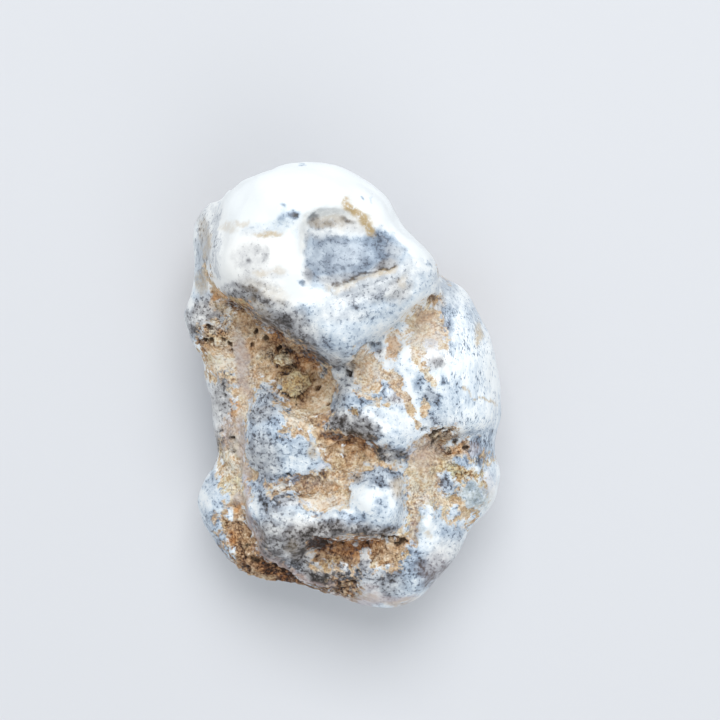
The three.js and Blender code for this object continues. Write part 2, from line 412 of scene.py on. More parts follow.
# %% Clouds on the head
HEAD_CLOUDS = [
    # The dimple and its rim
    (-5.4, 17.0, 1.5, 1.1, 0, 0.68), (-3.2, 18.9, 1.7, 0.5, 8, 0.86), (-2.9, 17.3, 1.5, 0.8, 0, 0.56),
    (0.0, 15.2, 1.3, 1.0, 0, 0.76), (-2.6, 13.4, 2.8, 0.8, 10, 0.70), (3.6, 19.4, 1.2, 0.9, -30, 0.86),
    (3.3, 17.0, 0.9, 1.2, 0, 0.70), (3.6, 15.6, 1.0, 0.8, 0, 0.76), (6.0, 16.9, 1.8, 1.9, 30, 0.58),
    (-1.2, 20.7, 1.9, 0.5, 5, 0.20), (-7.0, 22.1, 1.0, 1.0, 0, 0.80), (-5.8, 20.9, 0.8, 0.6, 0, 0.80),
    (-1.9, 21.7, 1.0, 0.5, 0, 0.72), (-9.3, 12.0, 0.7, 0.4, -20, 0.70), (-5.4, 21.1, 1.9, 0.7, 5, 0.66),
    (-7.0, 13.0, 1.4, 1.3, -30, 0.64), (5.2, 19.3, 1.2, 0.9, -40, 0.76), (4.3, 15.9, 0.7, 0.7, 0, 0.54),
    (-0.6, 18.2, 1.2, 1.0, 0, 0.50), (-2.8, 18.6, 0.9, 0.6, 0, 0.76), (-3.4, 14.6, 1.0, 1.0, 0, 0.70),
    (0.4, 15.6, 0.9, 0.8, 0, 0.76), (-5.0, 17.4, 1.1, 0.8, 0, 0.54), (-1.3, 16.4, 1.2, 0.8, 0, 0.46),
    (-5.3, 13.2, 0.8, 0.5, 0, 0.44), (-0.5, 18.3, 0.9, 0.5, 0, 0.44),
    # The top and the edges of the head
    (10.4, 14.9, 1.6, 1.2, 0, 0.10), (10.9, 15.3, 0.4, 0.4, 0, 0.50), (11.8, 13.7, 0.5, 0.6, 0, 0.40),
    (-11.4, 22.6, 2.2, 1.6, 20, 0.34), (-12.1, 24.6, 0.5, 0.4, 0, 0.60), (0.2, 26.0, 0.4, 0.3, 0, 0.60),
    (1.9, 25.5, 0.3, 0.5, 0, 0.40), (-9.2, 31.2, 0.5, 0.2, 0, 0.45), (-24.9, 18.0, 1.1, 6.0, 0, 0.44),
    (-22.9, 20.5, 0.4, 4.5, 8, 0.34), (-25.2, 14.0, 0.7, 3.0, 5, 0.60),
    # The dark band under the lip
    (-12.8, 4.5, 4.6, 0.9, -36, 0.95), (-7.4, 0.8, 2.4, 0.8, -50, 0.85),
    (-3.4, -0.9, 1.4, 1.1, 0, 0.64), (-17.6, 10.4, 2.6, 1.3, -15, 0.78),
    (-14.6, 7.6, 2.6, 1.2, -35, 0.76), (-12.2, 6.0, 1.8, 1.5, -30, 1.00),
    (-9.2, 2.8, 2.6, 1.0, -35, 0.82), (-19.4, 9.0, 1.8, 0.7, -22, 1.05),
    (-16.0, 6.8, 2.2, 0.6, -36, 0.92), (-5.6, -1.6, 0.8, 1.6, 20, 0.90),
    (-13.8, 6.9, 0.9, 0.6, 0, 0.62), (-20.3, 11.6, 1.2, 0.7, 0, 0.46),
    # Below the dimple
    (4.6, 11.8, 2.5, 0.8, 35, 0.50), (3.0, 10.5, 1.0, 0.8, 0, 0.80), (-0.8, 8.5, 0.9, 0.6, 0, 0.85),
    (4.6, 8.4, 1.2, 1.5, 20, 0.46), (1.7, 6.4, 1.8, 0.9, -10, 0.62), (7.6, 10.5, 0.7, 0.8, 0, 0.42),
    (9.6, 11.5, 1.4, 1.1, 0, 0.38), (1.4, 2.8, 2.2, 0.6, -10, 0.36), (5.6, 5.4, 1.4, 0.7, 30, 0.34),
    (8.6, 8.0, 2.2, 0.5, 35, 0.08), (-9.0, 7.6, 2.4, 1.4, 0, 0.60), (-5.8, 5.2, 2.4, 1.2, 0, 0.30),
    (1.0, 11.6, 6.0, 1.3, 18, 0.46), (-9.8, 7.9, 1.1, 0.7, 0, 0.45), (2.0, 8.6, 2.0, 0.9, 10, 0.48),
    (-3.0, 3.6, 1.6, 0.8, 0, 0.32), (2.6, 4.9, 1.6, 0.8, 30, 0.14), (-6.0, 11.4, 1.8, 0.6, 0, 0.48),
    (-1.8, 1.0, 1.4, 0.8, 20, 0.62),
    # Laid over those
    (-10.7, 23.2, 0.8, 0.7, 20, 1.20), (-16.0, 12.6, 3.4, 0.9, -25, 0.40),
    (-17.6, 16.4, 3.0, 2.0, 0, 0.28), (-16.4, 17.4, 0.6, 0.5, 0, 0.45),
    (-17.4, 15.5, 0.6, 0.5, 0, 0.80), (-18.9, 14.9, 0.8, 0.5, 0, 0.45),
    (-15.2, 16.6, 0.5, 0.8, 0, 0.50), (-12.3, 22.8, 0.6, 0.5, 0, 0.60),
    (-15.0, 14.0, 3.5, 1.2, 0, 0.28), (-14.5, 20.6, 4.6, 1.4, 0, 0.26), (0.8, 13.2, 1.6, 0.6, 20, 0.52),
    (-12.3, 9.0, 1.2, 0.9, 0, 0.52), (-8.8, 6.0, 1.2, 0.8, 0, 0.80), (-9.1, 17.5, 0.9, 2.6, 0, 0.02),
    (-7.4, 18.0, 1.0, 1.0, 0, 0.52), (-9.8, 20.9, 1.3, 1.4, 0, 0.20), (-7.2, 18.6, 1.0, 0.8, 0, 0.60),
    (-7.3, 14.9, 1.0, 0.8, 0, 0.60),
]
print(len(HEAD_CLOUDS), "spots on the head")

# %% [markdown]
# The left side is broken into a block, a ledge below it and the foot. Its growth sits in
# ragged clumps with white between them, so each clump gets a spot or two of its own.

# %% Clouds on the left side
LEFT_CLOUDS_AND_SHADE = [
    # The left edge
    (-24.8, 8.4, 2.6, 2.4, 0, 0.74), (-22.4, 6.6, 1.5, 0.6, -20, 0.76), (-25.6, 6.6, 0.8, 1.2, 0, 1.00),
    (-27.2, 8.8, 0.8, 1.6, 0, 0.05), (-21.4, -4.4, 1.2, 3.2, 0, 0.74), (-22.8, -6.0, 1.0, 2.0, 0, 0.48),
    (-22.6, -9.5, 1.2, 1.8, 0, 0.32), (-22.4, -12.7, 0.8, 1.5, 0, 0.86),
    (-23.2, -21.4, 2.4, 3.2, 20, 0.56), (-22.4, -22.0, 1.0, 1.4, 10, 0.60),
    (-23.6, -24.6, 0.7, 0.7, 0, 0.80), (-24.6, -22.4, 0.8, 2.4, 20, 0.14),
    (-26.2, 5.0, 0.9, 2.0, 0, 0.80), (-23.4, 8.2, 0.9, 0.7, 0, 0.52), (-26.4, 7.4, 0.8, 1.0, 0, 1.00),
    # The block on the left and the ledge below it
    (-16.8, -6.0, 1.2, 1.6, 0, 0.50), (-13.9, -5.4, 1.6, 1.5, 0, 0.82),
    (-16.6, -10.0, 1.2, 2.4, 0, 0.70), (-16.4, -14.6, 1.6, 4.0, 10, 0.64),
    (-14.6, -10.0, 1.3, 1.6, 0, 0.68), (-12.0, -13.8, 1.6, 1.2, 0, 0.54),
    (-9.8, -13.4, 1.4, 1.0, 0, 0.44), (-10.2, -16.0, 2.0, 1.2, 15, 0.28),
    (-12.0, -18.7, 3.0, 0.8, -5, 0.86), (-16.2, -19.8, 2.3, 1.4, -20, 0.60),
    (-14.0, -22.9, 1.7, 1.6, -20, 0.92), (-11.3, -21.7, 0.9, 0.7, 0, 0.60),
    (-16.5, -23.8, 0.9, 1.6, 20, 0.26), (-11.0, -24.9, 3.0, 1.4, -10, 0.42),
    (-14.6, -7.6, 1.3, 1.0, 0, 0.80), (-12.0, -12.3, 1.4, 1.1, 0, 0.70),
    (-8.4, -13.8, 1.6, 0.9, 0, 0.62), (-13.8, -16.1, 1.4, 1.1, 0, 0.80),
    (-18.0, -10.5, 0.6, 3.5, 0, 0.34), (-17.9, -7.6, 0.6, 1.0, 0, 0.15),
    # The spot at (-4.8, -11.8) is moss and painted shade at the top edge of the middle hollow
    (-17.8, -18.0, 1.6, 1.1, 0, 0.34), (-4.8, -11.8, 1.8, 0.8, -15, 1.25),
    (-15.0, -4.6, 1.0, 0.7, 0, 0.50), (-7.2, -13.5, 0.7, 1.4, 0, 0.56),
    (-6.0, -16.7, 1.3, 0.9, 0, 0.50),
    # The foot
    (-16.4, -26.6, 0.7, 2.4, 20, 0.70), (-11.0, -27.4, 1.0, 0.8, 0, 0.95),
    (-8.0, -27.2, 1.4, 0.8, 0, 0.72), (-12.6, -28.8, 1.8, 1.2, 0, 0.80),
    (-15.0, -28.3, 1.5, 1.8, 15, 0.90), (-13.6, -30.6, 1.6, 1.6, 0, 0.90),
    (-6.6, -28.5, 2.2, 1.8, 0, 1.05), (-9.2, -31.2, 2.2, 1.0, -20, 0.74),
    (-10.2, -32.6, 1.0, 0.6, -20, 0.85), (-6.0, -25.3, 1.8, 1.0, -10, 0.40),
    (-5.2, -34.1, 2.6, 0.9, -5, 0.95), (-22.8, -28.8, 0.9, 4.6, 32, 0.62),
    (-4.6, -34.4, 4.0, 1.6, 0, 0.95), (-9.4, -29.6, 2.6, 2.8, -20, 0.66),
    # The spots at (-11.0, -28.4), (-5.4, -27.9), (-11.6, -32.4), (-8.0, -32.6), (-9.4, -29.2) and (-9.6,
    # -33.2) are partly moss and partly painted shade, below the pillow and over the foot
    (-23.4, -25.6, 0.8, 1.4, 10, 0.72), (-11.0, -28.4, 1.9, 1.3, 0, 0.92),
    (-5.4, -27.9, 4.4, 0.7, 0, 0.95), (-11.6, -32.4, 1.6, 0.8, -30, 0.90),
    (-8.0, -32.6, 1.4, 0.8, 0, 0.62), (-22.8, -26.2, 0.9, 1.6, 20, 0.90),
    (-9.4, -29.2, 2.0, 1.4, 0, 0.98), (-9.6, -33.2, 1.8, 0.9, -20, 1.00),
]
print(len(LEFT_CLOUDS_AND_SHADE), "spots on the left side")

# %% [markdown]
# In the middle and on the right, low values spare the white crests between the clouds. That
# is easier than drawing a cloud's outline around each crest.

# %% Clouds in the middle and on the right side
RIGHT_CLOUDS_AND_SHADE = [
    # The middle
    (5.0, -11.0, 5.8, 4.2, 0, 0.28), (-1.7, -10.8, 3.6, 1.5, -10, 0.82),
    (-1.0, -8.2, 2.2, 0.8, -20, 0.40), (1.6, -12.0, 1.2, 1.2, 0, 0.86),
    (5.6, -10.2, 3.4, 2.2, -10, 0.14), (5.8, -10.1, 0.4, 0.7, 0, 0.50), (2.8, -10.9, 0.5, 0.5, 0, 0.95),
    (7.0, -13.3, 0.8, 0.5, 0, 0.60), (3.6, -14.8, 1.5, 1.0, 0, 1.25), (6.7, -15.0, 1.3, 1.0, 0, 1.00),
    (5.2, -14.0, 1.6, 0.7, 0, 0.72), (-3.0, -5.0, 2.4, 1.9, 0, 0.52), (0.0, -6.2, 2.4, 1.1, -10, 0.62),
    (-3.2, -7.2, 1.5, 0.5, -20, 0.55), (2.2, -9.2, 1.6, 1.2, 0, 0.36), (2.6, -18.4, 3.6, 1.8, -5, 0.70),
    (1.9, -22.0, 3.9, 2.0, -8, 0.10), (3.2, -23.1, 1.3, 1.1, 0, 0.70),
    (6.6, -22.6, 1.0, 3.2, -10, 0.48), (7.2, 1.6, 0.8, 3.4, 0, 0.02), (4.6, -4.9, 1.3, 1.2, 0, 0.85),
    (4.8, -4.9, 0.7, 0.7, 0, 0.20), (-4.0, -9.0, 1.9, 0.8, -20, 0.95),
    (-4.6, -11.2, 1.6, 0.6, -25, 1.05), (0.9, -10.0, 1.5, 0.9, -20, 0.80),
    # The spot at (-1.8, -12.0) is moss and painted shade at the top edge of the middle hollow
    (2.6, -12.2, 1.0, 0.8, 0, 0.80), (4.4, -6.1, 1.8, 0.7, 0, 0.68), (-1.8, -12.0, 3.2, 0.7, -6, 1.00),
    (3.4, 0.9, 0.7, 1.2, 0, 0.50), (5.4, -7.2, 1.6, 0.6, 0, 0.56), (5.0, -12.2, 1.3, 1.1, 0, 0.50),
    # So is the spot at (-0.4, -12.1)
    (3.8, -17.2, 1.3, 0.6, 0, 0.84), (-0.4, -12.1, 1.9, 0.8, -8, 1.25),
    (-4.2, -8.3, 1.2, 0.7, -20, 0.90), (0.2, 2.3, 1.3, 0.6, 30, 0.56), (2.6, 1.1, 0.9, 1.6, 0, 0.55),
    (-1.0, -9.4, 1.3, 0.7, -10, 0.46), (-0.7, -17.4, 1.3, 0.6, 0, 0.15),
    (-2.0, -3.0, 0.8, 1.0, 0, 0.66), (5.0, -14.5, 1.1, 0.7, 0, 0.85), (5.0, -9.6, 0.9, 1.2, 0, 0.26),
    # The upper right
    (8.4, -4.0, 1.0, 2.6, 15, 0.02), (10.0, -3.9, 1.4, 1.6, 0, 0.62), (10.4, -4.5, 0.7, 0.8, 0, 0.30),
    (12.4, -0.5, 1.1, 0.8, 0, 0.68), (13.3, -3.3, 0.5, 0.7, 0, 0.90), (11.8, -6.8, 1.3, 1.7, 0, 0.70),
    (12.9, -8.5, 1.4, 1.2, 0, 0.38), (13.7, 6.6, 1.3, 2.4, 10, 0.70), (14.6, 2.0, 0.7, 1.4, 0, 0.50),
    (18.2, 6.6, 1.2, 2.8, 20, 0.36), (18.6, -2.6, 1.0, 2.6, -5, 0.36), (20.4, -3.7, 0.5, 1.3, 0, 0.55),
    (15.2, -5.6, 1.4, 2.6, 0, 0.46), (10.2, -5.6, 0.9, 0.7, 0, 0.70), (11.5, -8.0, 1.0, 2.2, 0, 0.72),
    (13.0, 10.2, 0.8, 1.2, 0, 0.60), (10.0, -6.3, 1.0, 0.7, 0, 1.00), (17.2, -6.0, 1.4, 1.0, 0, 0.40),
    (13.4, 4.6, 0.7, 1.2, 0, 0.60), (11.9, 1.1, 1.2, 0.6, 0, 0.20), (8.2, -1.4, 1.0, 0.8, 0, 0.20),
    (13.4, -9.8, 1.3, 0.6, 0, 0.50),
    # The lower right
    (19.1, -15.6, 0.7, 1.1, -10, 0.95), (21.8, -10.0, 0.8, 4.0, 0, 0.30),
    (13.8, -19.6, 1.3, 1.9, 12, 0.92), (16.2, -16.1, 1.5, 1.1, 0, 0.75),
    (18.0, -21.3, 2.4, 2.6, -40, 0.42), (20.9, -21.5, 0.9, 3.6, -15, 0.05),
    (18.0, -24.2, 0.9, 0.9, 0, 0.46), (18.8, -10.2, 2.2, 0.8, 0, 0.20),
    # The spot at (14.0, -10.3) is painted shade along the ledge above the pits
    (17.2, -19.9, 1.3, 0.7, -20, 0.72), (14.0, -10.3, 2.4, 0.6, 0, 0.50),
    (14.0, -13.2, 1.2, 0.6, 30, 0.26), (10.6, -11.2, 1.2, 0.7, 0, 0.58),
    (18.6, -13.4, 1.0, 1.2, 0, 0.72), (16.4, -14.0, 0.9, 1.2, 0, 0.50),
    (21.0, -18.6, 0.8, 1.8, 0, 0.30),
    # The foot
    (7.0, -25.0, 1.2, 1.6, 0, 0.34), (5.0, -25.8, 2.8, 1.0, -10, 0.34),
    (-2.0, -26.0, 4.5, 1.6, -3, 0.80), (0.5, -27.2, 3.2, 0.8, 0, 0.90), (3.4, -27.0, 2.2, 1.0, 8, 0.82),
    (14.6, -26.2, 1.6, 1.0, 0, 0.45), (14.3, -27.3, 2.0, 1.4, -10, 0.50),
    (13.8, -30.5, 2.2, 2.4, -30, 0.30), (9.0, -31.6, 2.6, 1.9, -10, 0.82),
    (9.6, -34.6, 2.6, 1.8, 20, 0.72), (6.0, -35.4, 3.6, 2.4, 0, 0.60), (4.4, -35.6, 1.2, 2.2, 10, 0.90),
    (6.4, -33.0, 0.8, 1.4, -20, 0.62), (12.6, -33.4, 2.0, 1.4, 40, 0.70),
    (10.6, -26.4, 1.7, 4.0, 5, 0.12), (9.2, -25.9, 0.9, 2.4, -5, 0.40), (2.0, -34.8, 1.4, 1.8, 0, 0.50),
    (0.5, -31.8, 1.0, 1.6, 0, 0.60), (-1.8, -33.4, 2.2, 0.8, 0, 0.62), (8.2, -27.6, 0.9, 1.1, 0, 0.44),
    # The spot at (-2.0, -34.0) is partly moss and partly painted shade over the foot
    (11.4, -32.0, 1.5, 0.7, 0, 0.46), (-2.0, -34.0, 2.4, 1.0, 0, 0.92),
    # Laid over those
    (-4.8, -24.8, 2.4, 0.6, -5, 0.34), (-2.4, -23.7, 1.2, 0.5, 0, 0.06),
    (20.9, -1.5, 0.9, 4.6, 4, 0.00), (10.2, -23.2, 0.7, 1.0, 0, 0.40), (15.0, -24.0, 1.1, 0.9, 0, 0.75),
    (8.8, -24.0, 1.5, 1.3, 0, 0.56), (12.8, -24.4, 0.9, 1.6, 0, 0.48),
]
print(len(RIGHT_CLOUDS_AND_SHADE), "spots in the middle and on the right side")

# %% [markdown]
# Now the lists become one value per vertex. A weak haze drifts over all that lies below the
# head, the broad clouds come next, and the spots last. Growth that lies deep under clear opal
# looks blurred, so its depth gets a value too: 1 on the head, less near the lip and least
# below it.

# %% Clouds gathered
BODY_HAZE = 0.44
HAZE_SIZE = 3.5
BROAD_EDGE = 0.9
CLOUD_EDGE = 0.62
LOST_BELOW_HEAD = 0.8
LOST_NEAR_LIP = 0.55
CLOUD_SEAMS = [
    (0.36, 0.32, [(-22.4, 25.0), (-23.1, 20.0), (-23.2, 16.0), (-22.6, 13.2)]),
    (0.85, 0.26, [(-4.8, 12.3), (-2.0, 12.8), (0.0, 14.1), (2.0, 14.5), (5.2, 15.4)]),
]
BELOW_HEAD = [(-30, 12), (-14, 6), (-4, -2), (3, 3), (12, 11), (30, 4), (30, -45), (-30, -45)]
NEAR_LIP = [
    (-24, 14), (-15, 13), (-9, 10.5), (-5, 10), (0, 11.5), (6, 14.5), (12, 17), (14, 10), (4, 2),
    (-4, -4), (-24, 8),
]
below_head = field(BELOW_HEAD, edge=1.5)
near_lip = field(NEAR_LIP, edge=1.5)
haze = BODY_HAZE * below_head * (0.6 + noise_field(HAZE_SIZE, seed=9))
for value, points in CLOUD_FIELDS.values():
    haze += field(points, edge=BROAD_EDGE) * (value - haze)
cloud_and_shade = gather(HEAD_CLOUDS + LEFT_CLOUDS_AND_SHADE + RIGHT_CLOUDS_AND_SHADE, haze, edge=CLOUD_EDGE)
for value, half_width, points in CLOUD_SEAMS:
    cloud_and_shade = np.maximum(cloud_and_shade, value * seam(points, half_width))
deep = (1.0 - LOST_BELOW_HEAD * below_head) * (1.0 - LOST_NEAR_LIP * near_lip)
print("Growth: mean", round(float(cloud_and_shade.mean()), 2), "and mean depth", round(float(deep.mean()), 2))

# %% [markdown]
# The tan host rock is what the opal grew in. Weather and tumbling took it off everywhere but
# in the hollows. Its big areas have outlines of their own, drawn with as few points as
# their shape needs, because ellipses would make them look like lakes. Small patches, and the
# islands of opal inside the rock, are spots. 1 is rock and 0 is opal.

# %% Host rock
ROCK_EDGE = 1.7
ROCK_FIELDS = {
    "flank and hollow under the lip": [
        (-22.2, 9.9), (-17.7, 7.9), (-14.7, 5.1), (-11.2, 3.5), (-7.7, 1.0), (-5.8, -1.9),
        (-4.3, -3.0), (-4.9, -8.4), (-6.8, -9.8), (-8.4, -11.8), (-12.2, -11.0), (-11.8, -7.6),
        (-13.3, -7.0), (-12.7, -4.8), (-14.7, -3.4), (-16.2, -3.0), (-17.4, -6.9), (-18.4, -9.6),
        (-19.8, -9.6), (-20.4, -7.0), (-20.1, -4.0), (-21.2, -1.7), (-22.8, -3.4), (-24.5, -2.3),
        (-25.9, 2.0), (-25.4, 5.1), (-23.2, 5.8), (-21.0, 5.6), (-20.6, 7.0), (-23.1, 8.7),
    ],
    "left edge": [
        (-20.6, -9.0), (-18.6, -9.4), (-18.5, -14.0), (-18.2, -19.0), (-17.9, -23.0),
        (-18.5, -25.5), (-21.0, -24.6), (-21.4, -20.0), (-22.6, -17.0), (-22.4, -14.5),
        (-21.6, -12.0),
    ],
    "crumbled corner": [
        (-23.0, -24.9), (-20.6, -24.5), (-18.6, -24.0), (-17.3, -26.3), (-16.4, -28.8),
        (-15.2, -31.2), (-12.8, -32.7), (-9.6, -34.6), (-7.0, -35.9), (-4.4, -36.2), (-4.2, -38.6),
        (-9.0, -37.8), (-15.5, -36.6), (-19.0, -34.4), (-20.8, -31.4), (-22.0, -28.6),
    ],
    "brown notch at the foot": [
        (-5.6, -36.4), (-4.4, -34.9), (-2.8, -34.3), (-0.6, -34.5), (0.4, -36.0), (-0.4, -37.6),
        (-3.0, -38.0), (-5.2, -37.4),
    ],
    "middle hollow and ledge": [
        (-8.4, -9.0), (-4.9, -7.8), (-5.6, -10.4), (-3.4, -12.0), (1.6, -13.2), (6.0, -16.4),
        (0.4, -17.0), (-1.4, -18.4), (-2.1, -22.8), (-4.0, -24.0), (-7.4, -24.0), (-9.3, -22.4),
        (-10.3, -20.9), (-13.8, -21.4), (-15.1, -19.6), (-11.3, -19.6), (-8.2, -18.3),
        (-5.3, -17.1), (-5.5, -15.6), (-6.8, -14.0), (-8.0, -12.0),
    ],
    "lower right plane and channel": [
        (9.2, -12.8), (11.4, -11.3), (14.7, -10.8), (15.5, -12.2), (18.1, -12.8), (18.0, -14.8),
        (21.1, -15.4), (21.3, -17.4), (20.2, -19.0), (20.4, -21.3), (18.5, -23.8), (17.1, -26.4),
        (13.6, -25.2), (12.2, -23.2), (10.6, -21.8), (9.4, -23.0), (8.5, -26.2), (8.0, -29.2),
        (6.6, -33.0), (3.3, -33.2), (-0.7, -33.2), (-7.6, -32.6), (-7.4, -29.6), (-2.0, -28.4),
        (4.6, -28.6), (7.4, -26.6), (8.2, -22.5), (7.0, -18.4), (7.4, -15.6),
    ],
    "upper patch on the plate": [
        (7.0, 6.3), (9.0, 7.9), (11.5, 9.5), (12.8, 8.5), (12.8, 6.0), (14.1, 3.3), (13.4, 2.2),
        (10.4, 3.2), (9.4, -0.6), (8.0, -0.2), (7.8, 3.4),
    ],
}
ROCK_SPOTS = [
    # The head
    (13.2, 13.6, 0.6, 2.2, 28, 0.40), (-24.2, 13.6, 0.6, 2.6, 20, 0.80),
    # Under the lip and below the dimple
    (5.2, 2.2, 1.1, 2.4, 0, 1.00), (-22.8, 10.6, 0.8, 1.6, 40, 1.00),
    # The left side
    (-13.2, -6.6, 0.9, 1.1, 0, 0.30), (-11.0, -11.6, 1.6, 0.7, -10, 0.70),
    (-16.0, -3.4, 1.4, 0.7, 20, 0.90), (-20.0, -8.6, 0.9, 1.0, 0, 0.90),
    (-21.0, -17.6, 1.3, 2.4, 10, 0.90),
    # The middle
    (-1.1, -8.15, 1.3, 0.42, -28, 1.00), (1.1, -1.6, 2.3, 3.3, 8, 1.00),
    (4.2, -15.2, 1.7, 0.9, -20, 0.10), (4.2, -2.6, 1.3, 0.8, -10, 1.00),
    (5.4, -3.2, 0.9, 2.0, 25, 1.00), (7.2, -6.4, 0.7, 2.6, 32, 1.00), (4.4, -7.0, 1.5, 0.4, 15, 0.60),
    (-2.5, -14.5, 0.25, 1.6, 0, 0.62), (-5.0, -5.0, 1.0, 3.2, 0, 1.00), (0.6, -5.0, 1.5, 0.7, 0, 0.60),
    (3.4, -6.4, 1.1, 0.5, 0, 0.55), (-5.0, -17.9, 1.6, 0.6, 0, 1.00), (0.4, -16.9, 2.2, 0.6, 0, 0.90),
    (-2.6, -12.4, 3.2, 0.6, -6, 0.90), (1.0, -5.0, 1.4, 0.9, -30, 0.85),
    (-6.2, -16.6, 1.3, 0.8, -10, 0.00), (-17.2, -18.3, 0.9, 1.1, 0, 0.90),
    # The right side
    (9.6, 5.6, 2.2, 2.2, 0, 1.00), (12.0, 5.2, 1.4, 2.0, 0, 1.00), (9.2, 1.7, 1.3, 1.3, 0, 1.00),
    (10.4, -1.0, 1.2, 0.9, 0, 0.60), (9.0, -9.6, 0.4, 1.2, 25, 1.00), (11.2, -3.0, 0.8, 1.5, 15, 0.80),
    (10.2, -7.3, 0.9, 1.5, 10, 1.00), (16.2, -16.1, 1.5, 0.9, 0, 0.00),
    (13.8, -19.5, 1.2, 1.9, 12, 0.00), (18.0, -21.3, 2.4, 2.0, -35, 0.00),
    (18.6, -16.6, 1.4, 1.2, 0, 0.20), (15.1, -24.0, 1.1, 1.0, 0, 0.10),
    (14.0, -13.3, 1.3, 0.6, 20, 0.30), (11.2, 2.5, 1.0, 0.7, 0, 0.10),
    (16.5, -13.7, 1.1, 0.9, -20, 1.00), (11.8, 9.6, 1.3, 0.8, 10, 0.90),
    (8.7, -22.5, 0.6, 4.5, 0, 1.00), (18.4, -13.8, 0.7, 1.4, 0, 0.12), (21.2, -19.0, 1.0, 3.0, 0, 0.00),
    # The foot
    (-6.4, -29.2, 1.8, 1.2, 0, 0.92), (0.5, -31.8, 0.9, 1.6, 0, 0.00),
    (-12.4, -33.9, 2.0, 0.8, -32, 1.00), (8.5, -27.0, 0.5, 2.2, 0, 1.00),
]
rock = np.max([field(points, edge=ROCK_EDGE) for points in ROCK_FIELDS.values()], axis=0)
rock = gather(ROCK_SPOTS, rock)
print("Host rock covers", round(100 * float(rock[front > 0.5].mean())), "% of the upper side")
